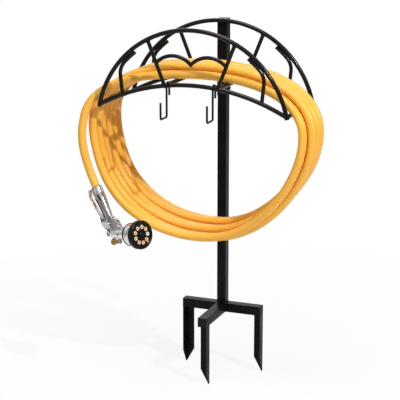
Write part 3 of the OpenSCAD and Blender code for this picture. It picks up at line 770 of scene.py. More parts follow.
@dataclass
class Camera:
    """The photograph's camera, fitted to points of the post, base and hanger.

    Attributes:
        azimuth: Angle from the front towards the object's right, in degrees.
        elevation: Angle over the level.
        distance: From the point that it looks at.
        focal_pixels: Focal length in the photograph's pixels.
        frame_pixels: Side of the photograph.
        aim_right: How far to the right of the post it looks.
        aim_height: The height that it looks at.
        sensor: Side of the sensor.
        reach: Least and greatest distance that it shows, in metres.
    """

    azimuth: float = 21.5
    elevation: float = 14.34
    distance: float = 3969.5
    focal_pixels: float = 1447.5
    frame_pixels: float = 400.0
    aim_right: float = -63.35
    aim_height: float = 317.06
    sensor: float = 36.0
    reach: Pair = (0.1, 60.0)

    def build(self) -> Object:
        """Places the camera and makes it the scene's own.

        Returns:
            The camera.
        """
        a, e = math.radians(self.azimuth), math.radians(self.elevation)
        back = Vector((math.sin(a) * math.cos(e), -math.cos(a) * math.cos(e), math.sin(e)))
        right = Vector((math.cos(a), math.sin(a), 0.0))
        up = back.cross(right)
        aim = right * self.aim_right * MM + Vector((0, 0, self.aim_height * MM))
        data = bpy.data.cameras.new("camera")
        data.sensor_width = self.sensor
        data.lens = self.sensor * self.focal_pixels / self.frame_pixels
        data.clip_start, data.clip_end = self.reach
        made = linked("camera", data)
        made.matrix_world = Matrix.Translation(aim + back * self.distance * MM) @ Matrix(
            (right, up, back)).transposed().to_4x4()
        bpy.context.scene.camera = made
        return made


def seen_ray(s: Sockets) -> NodeSocket:
    """Adds nodes that are 1 for camera and transmission rays, or 0."""
    path = s.add("LightPath").outputs
    return s.calc("MAXIMUM", path["Is Camera Ray"], path["Is Transmission Ray"])


@dataclass(frozen=True)
class Lamp:
    """A square lamp: where it hangs and its side in metres, and its power."""

    name: str
    at: Place
    side: float
    watts: float

    def hang(self, aim: Place) -> None:
        """Hangs the lamp so that it faces a point.

        Args:
            aim: The point, in metres.
        """
        data = bpy.data.lights.new(self.name, "AREA")
        data.shape, data.size, data.energy = "SQUARE", self.side, self.watts
        made = linked(self.name, data)
        made.location = self.at
        way = Vector(aim) - Vector(self.at)
        made.rotation_euler = way.to_track_quat("-Z", "Y").to_euler()


@dataclass
class Studio:
    """A pale floor that runs into a white room, and three soft lamps.

    Attributes:
        floor_half: Half of the floor's side, in metres.
        floor_white: How white the floor is as a surface.
        lit_share: Share of the floor's brightness that the lamps give by
            the post, so the share that the shadow can take away.
        near: Distance from the post up to which that share holds.
        far: Distance from which the floor is plain white.
        room_level: Strength of the room as a light.
        wall_level: Strength of the walls as reflections see them.
        ceiling_level: Strength of the ceiling as reflections see it.
        wall_to_ceiling: Heights between which walls turn into ceiling.
        aim: The point that the lamps face, in metres.
        lamps: The lamps.
    """

    floor_half: float = 9.0
    floor_white: float = 0.86
    lit_share: float = 0.12
    near: float = 0.45
    far: float = 1.6
    room_level: float = 0.21
    wall_level: float = 0.4
    ceiling_level: float = 1.0
    wall_to_ceiling: Pair = (0.05, 0.6)
    aim: Place = (0, -0.12, 0.45)
    lamps: tuple[Lamp, ...] = (Lamp("key", (3.5, -2.1, 3.7), 0.1, 168.0),
                               Lamp("fill", (0.0, -1.5, 3.9), 1.4, 70.0),
                               Lamp("rim", (-0.8, 2.6, 2.2), 1.4, 22.0))

    def floor_paint(self) -> Material:
        """Makes the floor's paint, white to the camera but for the soft shadow.

        The share of plain white light grows with the distance from the post,
        so the floor ends in the white of the room with no edge.

        Returns:
            The material.
        """
        paint = bpy.data.materials.new("floor_white")
        s = bare_tree(paint)
        flat = s.add("VectorMath", operation="MULTIPLY", Vector_1=(1, 1, 0),
                     Vector_0=s.add("TexCoord").outputs["Object"])
        reach = s.add("VectorMath", operation="LENGTH", Vector_0=flat.outputs["Vector"])
        white = s.ranged(reach.outputs["Value"], From_Min=self.near, From_Max=self.far,
                         To_Min=1 - self.lit_share, To_Max=1.0,
                         interpolation_type="SMOOTHSTEP")
        lit = s.add("BsdfDiffuse", Color=(*(self.floor_white,) * 3, 1))
        glow = s.add("Emission", Color=(1, 1, 1, 1), Strength=1.0)
        mix = s.add("MixShader", Factor_0=s.calc("MULTIPLY", white, seen_ray(s)),
                    Shader_1=lit.outputs[0], Shader_2=glow.outputs[0])
        s.feed(s.add("OutputMaterial"), Surface=mix.outputs[0])
        return paint

    def floor(self) -> Object:
        """Makes the floor, a square at the height of the prongs' tips.

        Returns:
            The floor.
        """
        h = self.floor_half
        mesh = bpy.data.meshes.new("floor")
        mesh.from_pydata([(-h, -h, GROUND), (h, -h, GROUND), (h, h, GROUND), (-h, h, GROUND)],
                         [], [[0, 1, 2, 3]])
        mesh.materials.append(self.floor_paint())
        floor = linked("floor", mesh)
        return floor

    def world(self) -> None:
        """Sets a room that is white to the eye and dimmer as a light.

        Reflections see its ceiling light and its walls dark, with a soft
        rise between the two heights in wall_to_ceiling, so that polished
        metal shows a dark horizon.
        """
        world = bpy.data.worlds.new("room")
        s = bare_tree(world)
        path = s.add("LightPath").outputs
        way = s.add("SeparateXYZ", Vector=s.add("TexCoord").outputs["Generated"]).outputs
        wall, ceiling = self.wall_to_ceiling
        mirrored = s.ranged(way["Z"], From_Min=wall, From_Max=ceiling, To_Min=self.wall_level,
                            To_Max=self.ceiling_level, interpolation_type="SMOOTHSTEP")
        inner = s.add("Mix", data_type="FLOAT", Factor=path["Is Glossy Ray"],
                      A=self.room_level, B=mirrored)
        level = s.add("Mix", data_type="FLOAT", Factor=seen_ray(s),
                      A=inner.outputs[0], B=1.0)
        back = s.add("Background", Color=(1, 1, 1, 1), Strength=level.outputs[0])
        s.feed(s.add("OutputWorld"), Surface=back.outputs[0])
        bpy.context.scene.world = world

    def build(self) -> None:
        """Builds floor, room and lamps, and keeps the plain view transform."""
        self.floor()
        self.world()
        for lamp in self.lamps:
            lamp.hang(self.aim)
        bpy.context.scene.view_settings.view_transform = "Standard"


# The nozzle's own frame


@dataclass(frozen=True)
class NozzleFrame:
    """Frame of the nozzle: u along its barrel, v up from it, side across both.

    Attributes:
        origin: Where u, side and v are nothing.
        turn: Angle of the barrel round the vertical, in degrees.
        tilt: Angle of the barrel's front over the level.
        inlet: Where the hose ends, as (u, v).
        grip_lean: Angle of the grip from v towards its rear.
    """

    origin: Place = (-211.5, -266.2, 269.0)
    turn: float = -25.5
    tilt: float = 10.0
    inlet: Pair = (-43.0, 124.0)
    grip_lean: float = 23.5

    def axes(self) -> np.ndarray:
        """Works out the frame's own ways.

        Returns:
            Rows u, side and v as unit vectors of the whole object's frame.
        """
        a, t = math.radians(self.turn), math.radians(self.tilt)
        u = [math.cos(t) * math.cos(a), math.cos(t) * math.sin(a), math.sin(t)]
        side = [-math.sin(a), math.cos(a), 0.0]
        return np.array([u, side, np.cross(u, side)])

    def place(self, points: np.ndarray) -> np.ndarray:
        """Takes points of (u, side, v) in millimetres to the object's metres."""
        return (np.array(self.origin) + points @ self.axes()) * MM

    def skin(self, name: str, rings: np.ndarray, loop: bool = False) -> Object:
        """Makes a closed surface from rings of points (u, side, v)."""
        return skin(name, self.place(rings), loop=loop)

    def grip_ways(self) -> tuple[np.ndarray, np.ndarray]:
        """Works out the ways of the leaning grip in (u, v).

        Returns:
            The way up along the grip and the way out to its front.
        """
        lean = math.radians(self.grip_lean)
        return (np.array([-math.sin(lean), math.cos(lean)]),
                np.array([math.cos(lean), math.sin(lean)]))

    def inlet_point(self) -> np.ndarray:
        """Where the hose ends in the nozzle's inlet, in millimetres."""
        return self.place(np.array([self.inlet[0], 0.0, self.inlet[1]])) / MM

    def inlet_way(self) -> np.ndarray:
        """The way the hose runs into the inlet."""
        up = self.grip_ways()[0]
        return np.array([-up[0], 0.0, -up[1]]) @ self.axes()


# Hose


def ease(t: np.ndarray) -> np.ndarray:
    """Smooth step: u u (3 - 2u), with u held between 0 and 1."""
    u = np.clip(t, 0.0, 1.0)
    return u * u * (3 - 2 * u)


@dataclass
class Hose:
    """Ten and a half metres of hose, coiled over the hanger down to the nozzle.

    Its route is that of the solids: round (0 right, 90 over the top,
    180 left, 270 below), wound from back to front in two nested layers.

    Attributes:
        half_width: Half width of the coil's oval.
        centre: Height of its middle.
        top: Height of its upper half.
        bottom: Depth of its lower half at the last whole turn.
        grow: What each turn hangs lower than the one before.
        full_turns: The last whole turn.
        lift: How far a nested turn lies above the one under it.
        nest: Pitch up to which turns nest fully.
        nest_range: Width of the pitches above it where they nest less.
        first: Turns at the hose's start.
        last: Turns where it leaves the coil.
        depth: Place y of the first turn at right, top, left and bottom.
        pitch: Distance between turns in y at the same four.
        step: Degrees where the step to the next turn starts, and its length.
        swing: Turns where the last stretch starts to swing, and over which.
        swing_out: How far it swings out, and swing_forward to the front.
        start_back: How far the start lies to the back, and over which turns.
        shoulders: Fullness above, on the right and on the left.
        tucks: Narrowing below, on the right and on the left.
        belly: Fullness below.
        ring_turns: Degrees at which each turn has its knots.
        knot_gap: Turns that the knots keep from both ends.
        hair: Turns before the end at which the way out of the coil is taken.
        fall_steps: Stretches between the coil and the nozzle.
        lead: How far past one diameter and past half of one the first two
            knots stand off from the start.
    """

    nozzle: NozzleFrame
    diameter: float = 22.0
    half_width: float = 295.5
    centre: float = 561.5
    top: float = 127.0
    bottom: float = 300.7
    grow: float = 5.2
    full_turns: int = 6
    lift: float = 20.2
    nest: float = 14.0
    nest_range: float = 13.4
    first: float = 0.25
    last: float = 6.49
    depth: tuple[float, ...] = (-129.2, -71.2, -31.0, -51.5)
    pitch: tuple[float, ...] = (16.3, 16.1, 31.0, 23.5)
    step: Pair = (84, 246)
    swing: Pair = (6.26, 0.24)
    swing_out: float = 10.1
    swing_forward: float = 3.3
    start_back: Pair = (9, 0.2)
    shoulders: tuple[Pair, Pair] = ((0.125, 0.018), (0.208, -0.047))
    tucks: tuple[Pair, Pair] = ((0.251, -0.116), (-0.125, 0.0))
    belly: float = 0.05
    ring_turns: tuple[float, ...] = (0, 9, 18, 27, 38, 53, 72, 90, 108, 127, 142, 153, 162, 171,
                                     180, 197, 213, 230, 249, 270, 291, 310, 327, 343)
    knot_gap: float = 0.02
    hair: float = 0.003
    fall_steps: int = 8
    lead: Pair = (2, 1)
    sides: int = 28
    spacing: float = 7.0

    def station(self, values: Sequence[float], angle: np.ndarray) -> np.ndarray:
        """A value eased between those at right, top, left and bottom.

        Args:
            values: The four values.
            angle: Angle of each point round the coil, in degrees.

        Returns:
            The value at each point.
        """
        table = np.array(values)
        k = np.floor(angle / 90).astype(int)
        f = ease(angle / 90 - k)
        return table[k % 4] * (1 - f) + table[(k + 1) % 4] * f

    def strand(self, turns: np.ndarray) -> np.ndarray:
        """Centre line of the coil at a number of turns, in millimetres.

        Each turn lies one pitch in front of the last, and every second one
        is lifted into the groove where the turns lie close together.

        Args:
            turns: Turns from the start of the winding.

        Returns:
            A point for each.
        """
        rounding = 0.0001
        whole = np.floor(turns + rounding)
        angle = np.maximum(0, (turns - whole) * 360)
        wound = whole + ease((angle - self.step[0]) / self.step[1])
        pitch = self.station(self.pitch, angle)
        swing = ease((turns - self.swing[0]) / self.swing[1])
        start = 1 - ease((turns - self.first) / self.start_back[1])
        spread = np.clip((pitch - self.nest) / self.nest_range, 0, 1)
        up = (self.lift * 0.5 * (1 - np.cos(np.pi * wound)) * (1 - spread**2)
              + self.swing_out * swing)
        y = (self.station(self.depth, angle) - pitch * wound - self.swing_forward * swing
             + self.start_back[0] * start)
        c, s = np.cos(np.radians(angle)), np.sin(np.radians(angle))
        right = c > 0
        fuller, again = (np.where(right, *pair) for pair in zip(*self.shoulders))
        tuck, curl = (np.where(right, *pair) for pair in zip(*self.tucks))
        over = (self.top + up) * s * (1 + fuller * c**2 + again * c**4)
        drop = self.bottom + self.grow * (wound - self.full_turns) + up
        under = drop * s * (1 + self.belly * c**2)
        narrower = np.where(s < 0, 1 - tuck * s**2 - curl * s**4, 1.0)
        return np.stack([(self.half_width + up) * c * narrower, y,
                         self.centre + np.where(s >= 0, over, under)], -1)

    def route(self) -> np.ndarray:
        """Centre line of the whole hose, from tap end to nozzle.

        The stretch between coil and nozzle is the cubic that has its two
        ends and, times their distance, the ways that the hose runs there.

        Returns:
            Points in metres.
        """
        start = self.strand(np.array([self.first]))[0]
        end, before = self.strand(np.array([self.last, self.last - self.hair]))
        way = unit(end - before)
        turns = np.array([n + a / 360 for n in range(self.full_turns + 1)
                          for a in self.ring_turns])
        turns = turns[(turns > self.first + self.knot_gap) & (turns < self.last - self.knot_gap)]
        lead = np.array([[self.diameter + self.lead[0], 0, 0],
                         [self.diameter / 2 + self.lead[1], 0, 0], [0, 0, 0]])
        leave = end + way * self.diameter
        inlet, into = self.nozzle.inlet_point(), self.nozzle.inlet_way()
        reach = np.linalg.norm(inlet - leave)
        t = np.linspace(0, 1, self.fall_steps + 1)[1:, None]
        fall = (leave * (2 * t**3 - 3 * t**2 + 1) + way * reach * (t**3 - 2 * t**2 + t)
                + inlet * (3 * t**2 - 2 * t**3) + into * reach * (t**3 - t**2))
        knots = np.vstack([start + lead, self.strand(turns), end, end + way * self.diameter / 2,
                           leave, fall])
        return natural_spline(knots, self.spacing) * MM

    def build(self) -> Object:
        """Returns:
            The hose.
        """
        path = self.route()
        along = np.concatenate([[0], np.cumsum(np.linalg.norm(np.diff(path, axis=0), axis=1))])
        rings = tube_rings(path, np.full(len(path), self.diameter / 2 * MM), self.sides)
        hose = skin("hose", rings, along)
        dress(hose, HOSE, "hose", ["hose_coil", "hose_tail"])
        LOG.info("hose length %.3f m", along[-1])
        return hose


# Nozzle


def plate(outline: Sequence[Pair], low: float, high: float) -> np.ndarray:
    """Rings of a flat plate: the outline in (u, v) at two places along side."""
    u, v = np.array(outline, float).T
    return np.stack([np.stack([u, np.full_like(u, y), v], -1) for y in (low, high)])


@dataclass
class Casting:
    """The nozzle's cast grip with its rib, and the bright barrel under it.

    Attributes:
        sections: Of the grip, from the inlet down: u, v, half depth, half
            width.
        squareness: Power of the sections' outline, 2 for an ellipse.
        grain: Side of the voxels that the casting is grown from.
        rounds: Rounds of smoothing on it.
        slot: Middle of the dark slot in each flank, as (u, v).
        slot_half: Half length of the slot's straight part, and its radius.
        slot_ahead: How far the slot lies in front of the grip's middle.
        slot_wall: Share of the slot's radius over which its wall falls.
        slot_shade_steps: Rings of the black pad of painted shade in each slot:
        share of its outline, and how deep each lies under the grip's flank.
        slot_shade_gap: Room round that pad in its slot.
        band_angle: Half angle of the black band of painted shade on the grip's rear.
        band_height: How far the band stands proud of the grip.
        band_reach: Heights v between which the band runs.
        band_end: Share of its half length at which its end rings stand.
        bore: Radius and depth of the inlet.
        lip: Share of the top section out to which its lip is flat.
        barrel: The barrel's outline from its rear end, as (u, radius).
        barrel_rear: Where the barrel's rear end stands, on u.
        rear_steps: Its rear outline: distance from there, and radius.
        neck: Where the rear's slope nears the barrel, as (u, radius).
        barrel_mouth: The inner outline of its bell.
        stem_bore: Radius of the valve stem's bore.
        stem_depth: Where that bore ends, on u.
        stem_bevel: Width of the bevel on it.
        rib: The rib's outline in (u, v).
        rib_half: Half thickness of the rib.
        rib_round: How far its corners are cut back.
        flow_height: Where the flow knob's peg stands, on v.
        flow_block: The block that carries it: its ends on u, half
            thickness, top on v, and how far it reaches under the peg.
        peg: The peg's outline, as (u, radius).
        ring: The black ring's outline, as (u, radius).
        plug: The dark plug's outline: height over its place, and radius.
        plug_at: Its place on the barrel's flank, as (u, side, v).
    """

    nozzle: NozzleFrame
    sections: tuple[tuple[float, float, float, float], ...] = (
        (-35.03, 105.66, 14.6, 14.2), (-29, 95, 14.6, 13.3), (-21.8, 80.4, 13.2, 12.0),
        (-13.8, 61.5, 12.6, 10.8), (-6, 43.5, 12.8, 9.0), (1, 28, 13.4, 9.0), (8, 14, 12.6, 9.0),
        (10.5, 7, 10, 8.5))
    squareness: float = 2.3
    grain: float = 0.6
    rounds: int = 12
    slot: Pair = (-29.5, 94.5)
    slot_half: Pair = (6.6, 3.8)
    slot_depth: float = 2.6
    slot_ahead: float = 5.8
    slot_wall: float = 0.55
    slot_shade_steps: tuple[Pair, ...] = ((1.0, 4.0), (1.0, 1.8), (0.9, 1.5))
    slot_shade_gap: float = 1.0
    band_angle: float = 84.0
    band_height: float = 0.9
    band_reach: Pair = (36, 103)
    band_end: float = 0.995
    bore: Pair = (8.0, 30)
    lip: float = 0.93
    barrel: tuple[Pair, ...] = ((0.0, 9.6), (20.0, 12.0), (45.0, 14.2), (56.0, 15.6), (65.0, 19.0),
                                (71.0, 25.0), (77.0, 28.0))
    barrel_rear: float = -4.5
    rear_steps: tuple[Pair, ...] = ((0, 5.5), (0.4, 6.1), (1, 6.5), (1.5, 6.5))
    neck: Pair = (-1.2, 8.6)
    barrel_mouth: tuple[Pair, ...] = ((77.0, 24.0), (72.0, 22.0))
    stem_bore: float = 2.5
    stem_depth: float = 28.0
    stem_bevel: float = 0.6
    rib: tuple[Pair, ...] = ((-2, 50), (9, 47), (14, 41), (24, 40), (30, 34), (35, 24), (50, 12.5),
                             (40, 11.5), (8, 8))
    rib_half: float = 6.5
    rib_round: float = 3.0
    flow_height: float = -21.3
    flow_block: tuple[Pair, float, float, float] = ((25, 32), 4, -9.5, 4.5)
    peg: tuple[Pair, ...] = ((20, 2.4), (26, 2.4))
    ring: tuple[Pair, ...] = ((76.0, 26.0), (76.0, 29.2), (76.8, 30.2), (78.8, 30.2),
                              (79.5, 29.4), (79.5, 26.0))
    plug: tuple[Pair, ...] = ((-3, 3.2), (0.6, 3.2), (0.6, 1.9), (0.1, 1.6), (0.1, 0.02))
    plug_at: Place = (38.0, -13.4, 1.0)

    def around(self, route: np.ndarray, angle: np.ndarray,
               proud: np.ndarray | float = 0.0) -> np.ndarray:
        """Points round the grip's sections, in (u, side, v).

        A point is centre + depth |cos a|^(2/n) across + width |sin a|^(2/n)
        side, each with its sign, where n is the squareness. The flanks are
        pressed in by the slot's depth times a smooth step of how far a
        point lies inside the slot's outline.

        Args:
            route: Sections, one to a row: u, v, half depth, half width.
            angle: Angle a of each point, with 0 at the front edge.
            proud: How far the points stand outside the sections.

        Returns:
            One ring of points for each section.
        """
        middle = route[:, :2]
        way = directions(middle)
        across = np.stack([-way[:, 1], way[:, 0]], -1)
        c, s = squared(angle, 2 / self.squareness, 2 / self.squareness)
        deep, wide = (route[:, 2, None] + proud) * c, (route[:, 3, None] + proud) * s
        along = (middle - np.array(self.slot)) @ self.nozzle.grip_ways()[0]
        beyond = np.maximum(0, np.abs(along) - self.slot_half[0])[:, None]
        inside = 1 - np.hypot(beyond, deep - self.slot_ahead) / self.slot_half[1]
        wide = wide - np.sign(wide) * self.slot_depth * ease(inside / self.slot_wall)
        return np.stack([middle[:, :1] + across[:, :1] * deep, wide,
                         middle[:, 1:] + across[:, 1:] * deep], -1)

    def flank(self, ahead: np.ndarray, height: np.ndarray) -> np.ndarray:
        """Half width of the grip: width (1 - |ahead / depth|^n)^(1/n).

        Args:
            ahead: Distance of each point in front of the grip's middle.
            height: Height v of each point.

        Returns:
            The half width at each point.
        """
        _, high, depth, width = np.array(self.sections[::-1], float).T
        share = np.clip(np.abs(ahead) / np.interp(height, high, depth), 0, 1)
        return np.interp(height, high, width) * (1 - share**self.squareness) ** (
            1 / self.squareness)

    def grip(self) -> np.ndarray:
        """Rings of the grip, with the bore for the hose's fitting at its top.

        Returns:
            The rings in (u, side, v).
        """
        route = natural_spline(self.sections, 0.8)
        rings = self.around(route, circle(120))
        way = directions(route[:, :2])[0]
        mouth = np.array([route[0, 0], 0, route[0, 1]])
        spoke = rings[0] - mouth
        radius, depth = self.bore
        inner = radius * spoke / np.linalg.norm(spoke, axis=1)[:, None]
        floor = mouth + np.array([way[0], 0, way[1]]) * depth + inner
        return np.vstack([[floor, mouth + inner, mouth + self.lip * spoke], rings[1:]])

    def body(self) -> Object:
        """Makes grip, rib, flow block and its peg as one soft-edged casting.

        Returns:
            The casting.
        """
        (near, far), half, top, under = self.flow_block
        low = self.flow_height - under
        rib = rounded(list(self.rib) + [self.rib[0]], self.rib_round)[:-1]
        parts = [self.grip(), plate(rib, -self.rib_half, self.rib_half),
                 plate([(near, low), (far, low), (far, top), (near, top)], -half, half),
                 revolved(self.peg, 32) + np.array([0, 0, self.flow_height])]
        made = merged("nozzle_casting", [tube_part(self.nozzle.place(p)) for p in parts],
                      self.grain, self.rounds)
        return dress(made, CAST_METAL, "hose", ["nozzle_body"])

    def rear_shade_band(self) -> Object:
        """Makes the black band along the rear edge of the grip, painted shade and dark reflection.

        A ring runs out along the grip's own section, a little outside it,
        and back a little inside it. Its half angle and its height fade to
        the ends as (1 - t^8)^(1/2).

        Returns:
            The band.
        """
        route = natural_spline(self.sections, 1.5)
        low, high = self.band_reach
        route = route[(route[:, 1] < high) & (route[:, 1] > low)]
        t = np.linspace(-self.band_end, self.band_end, len(route))[:, None]
        fade = np.sqrt(1 - t**8)
        swing = np.linspace(-1, 1, 25)
        angle = np.pi + math.radians(self.band_angle) * fade * np.concatenate(
            [swing, swing[::-1]])
        bulge = np.concatenate([np.sqrt(1 - swing**4), np.full_like(swing, -1.0)])
        # The band is painted shade and dark reflection: black where the grip's rear lies in shade.
        band = self.nozzle.skin("grip_shade_band", self.around(
            route, angle, self.band_height * fade * bulge))
        return dress(band, SEAL_AND_SHADE, "hose")

    def slot_shade(self, side: float) -> Object:
        """Makes the black pad of painted shade in the slot of one flank.

        Its outline is the slot's, drawn in by the pad's gap, and its rings
        follow the flank's own width.

        Args:
            side: -1 or 1.

        Returns:
            The inlay.
        """
        turn = np.radians(np.arange(0, 180, 12))
        half = self.slot_half[1] - self.slot_shade_gap
        end = np.stack([half * np.cos(turn), self.slot_half[0] + half * np.sin(turn)], -1)
        outline = np.vstack([end, -end])
        up, ahead = self.nozzle.grip_ways()
        middle = np.array(self.slot) + self.slot_ahead * ahead
        rings = []
        for share, sunk in self.slot_shade_steps:
            points = middle + share * (outline[:, :1] * ahead + outline[:, 1:] * up)
            flank = self.flank(self.slot_ahead + share * outline[:, 0], points[:, 1])
            rings.append(np.stack([points[:, 0], side * (flank - sunk), points[:, 1]], -1))
        # The pads are painted shade: black where the slot's recess lies in shade.
        name = f"grip_slot_shade_{'left' if side > 0 else 'right'}"
        return dress(self.nozzle.skin(name, np.stack(rings)), SEAL_AND_SHADE, "hose")

    def black_ring(self) -> Object:
        """Turns the black rubber ring between the bell and the dial's collar.

        Returns:
            The ring.
        """
        ring = self.nozzle.skin("bell_ring", revolved(rounded(self.ring, 0.6), 128), loop=True)
        return dress(ring, SEAL_AND_SHADE, "hose", ["barrel_ring"])

    def bell(self) -> Object:
        """Turns the barrel, from the stem's bore round the rear to the bell.

        Returns:
            The barrel.
        """
        rear, bore, bevel = self.barrel_rear, self.stem_bore, self.stem_bevel
        profile = [(self.stem_depth, bore), (rear + bevel, bore), (rear, bore + bevel),
                   *((rear + ahead, radius) for ahead, radius in self.rear_steps), self.neck,
                   *(tuple(p) for p in natural_spline(self.barrel, 1.5)), *self.barrel_mouth]
        bell = self.nozzle.skin("nozzle_barrel", revolved(profile, 96))
        return dress(bell, SATIN_CHROME, "hose")

    def gland(self) -> Object:
        """Turns the small dark plug that stands in the barrel's flank.

        Returns:
            The plug.
        """
        rings = revolved(rounded(self.plug, 0.4), 32)
        rings = np.stack([rings[..., 1], -rings[..., 0], rings[..., 2]], -1)
        plug = self.nozzle.skin("barrel_plug", rings + np.array(self.plug_at))
        return dress(plug, DARK_STEEL, "hose")

    def build(self) -> None:
        """Builds the casting with its band and slot pads of painted shade, and the barrel with
        ring and plug.
        """
        self.body()
        self.rear_shade_band()
        for side in (-1.0, 1.0):
            self.slot_shade(side)
        self.bell()
        self.black_ring()
        self.gland()


@dataclass
class Lever:
    """The squeeze lever: a crowned strip, two ears on the pivot and a fork.

    Attributes:
        line: The strip's middle line in (u, v), from its free end.
        bend: How far the line's corners are cut back.
        widths: Half width of the strip at heights v, from low to high.
        crown: How far the strip's middle lies nearer to the grip than its
            sides.
        fork_height: Height v under which the strip is a fork.
        fork_overlap: How far the fork's prongs reach up into the strip.
        fork_half: Half of the gap between the prongs.
        pivot: The pin's place in (u, v).
        eye: Radius of the ears' round ends.
        pin: Radius of the pin's hole.
        ear: Corners of an ear, which the round of its eye closes.
        ear_sides: Places of an ear's two faces along side.
        grain: Side of the voxels that the lever is grown from.
        rounds: Rounds of smoothing on it.
    """

    nozzle: NozzleFrame
    line: tuple[Pair, ...] = ((-72, 116.5), (-73.5, 94), (-60, 75.5), (-48, 57), (-32.5, 34.5),
                              (-16, 14.5), (-8, 8), (-8, -4))
    bend: float = 9.0
    widths: tuple[Pair, ...] = ((2.0, 6.5), (10.0, 11.4), (35.0, 11.4), (52.0, 5.0), (95.0, 5.0),
                                (120.0, 6.0))
    thickness: float = 2.5
    crown: float = 0.9
    fork_height: float = 4.5
    fork_overlap: float = 6.0
    fork_half: float = 2.4
    pivot: Pair = (2.0, 26.0)
    eye: float = 5.5
    pin: float = 2.56
    ear: tuple[Pair, ...] = ((-32.0, 34.2), (-15.5, 14.2))
    ear_sides: Pair = (9.4, 11.4)
    grain: float = 0.45
    rounds: int = 6

    def strip(self, route: np.ndarray, low: np.ndarray, high: np.ndarray) -> np.ndarray:
        """Rings of a strip between two places along side.

        A ring runs round a rounded oblong: side = middle + half |cos a|^(1/4),
        off the line = thickness / 2 |sin a|^(1/2), each with its sign, less
        crown (1 - (side / greatest side)^2).

        Args:
            route: Points (u, v) of the middle line.
            low: Where the strip starts along side, at each point.
            high: Where it ends.

        Returns:
            The rings in (u, side, v).
        """
        way = directions(route)
        off = np.stack([way[:, 1], -way[:, 0]], -1)
        c, s = squared(circle(48, 0.5), 0.25, 0.5)
        side = (high + low)[:, None] / 2 + (high - low)[:, None] / 2 * c
        share = side / np.abs(side).max(1)[:, None]
        rise = self.thickness / 2 * s - self.crown * (1 - share**2)
        return np.stack([route[:, :1] + off[:, :1] * rise, side,
                         route[:, 1:] + off[:, 1:] * rise], -1)

    def ear_rings(self, side: float) -> np.ndarray:
        """Rings of one ear, round the pin's hole and its own outline.

        The eye's arc runs between the two lines that touch it from the
        ear's corners. The outline's distance from the pivot, at an angle,
        is the least of each edge's distance over the cosine between the two.

        Args:
            side: -1 or 1.

        Returns:
            Four rings that meet, in (u, side, v).
        """
        centre = np.array(self.pivot)
        away = np.array(self.ear) - centre
        toward = np.arctan2(away[:, 1], away[:, 0]) % (2 * np.pi)
        touch = np.arccos(self.eye / np.linalg.norm(away, axis=1))
        turn = np.linspace(toward[1] + touch[1] - 2 * np.pi, toward[0] - touch[0], 24)
        arc = centre + self.eye * np.stack([np.cos(turn), np.sin(turn)], -1)
        corners = np.vstack([arc, self.ear]) - centre
        edge = np.roll(corners, -1, axis=0) - corners
        normal = unit(np.stack([edge[:, 1], -edge[:, 0]], -1))
        distance = np.einsum("ij,ij->i", normal, corners)
        angle = circle(96)
        look = np.stack([np.cos(angle), np.sin(angle)], -1)
        facing = look @ normal.T
        least = 1e-6
        reach = np.where(facing > least, distance / np.maximum(facing, least), np.inf).min(1)
        outer, inner = centre + look * reach[:, None], centre + look * self.pin
        near, far = (side * place for place in self.ear_sides)
        return np.stack([np.stack([points[:, 0], np.full_like(angle, at), points[:, 1]], -1)
                         for points, at in ((outer, near), (outer, far), (inner, far),
                                            (inner, near))])

    def build(self) -> Object:
        """Makes the lever as one piece of pressed metal.

        Returns:
            The lever.
        """
        line = np.array(rounded(self.line, self.bend, 6), float)
        high, half = np.array(self.widths).T
        upper = line[line[:, 1] > self.fork_height]
        lower = line[line[:, 1] < self.fork_height + self.fork_overlap]
        width, far = (np.interp(part[:, 1], high, half) for part in (upper, lower))
        near = np.full_like(far, self.fork_half)
        parts = [tube_part(self.nozzle.place(self.strip(*strip))) for strip in (
            (upper, -width, width), (lower, near, far), (lower, -far, -near))]
        parts += [tube_part(self.nozzle.place(self.ear_rings(side)), True) for side in (-1, 1)]
        made = merged("lever_pressing", parts, self.grain, self.rounds)
        return dress(made, CHROME, "nozzle_lever", ["lever"])


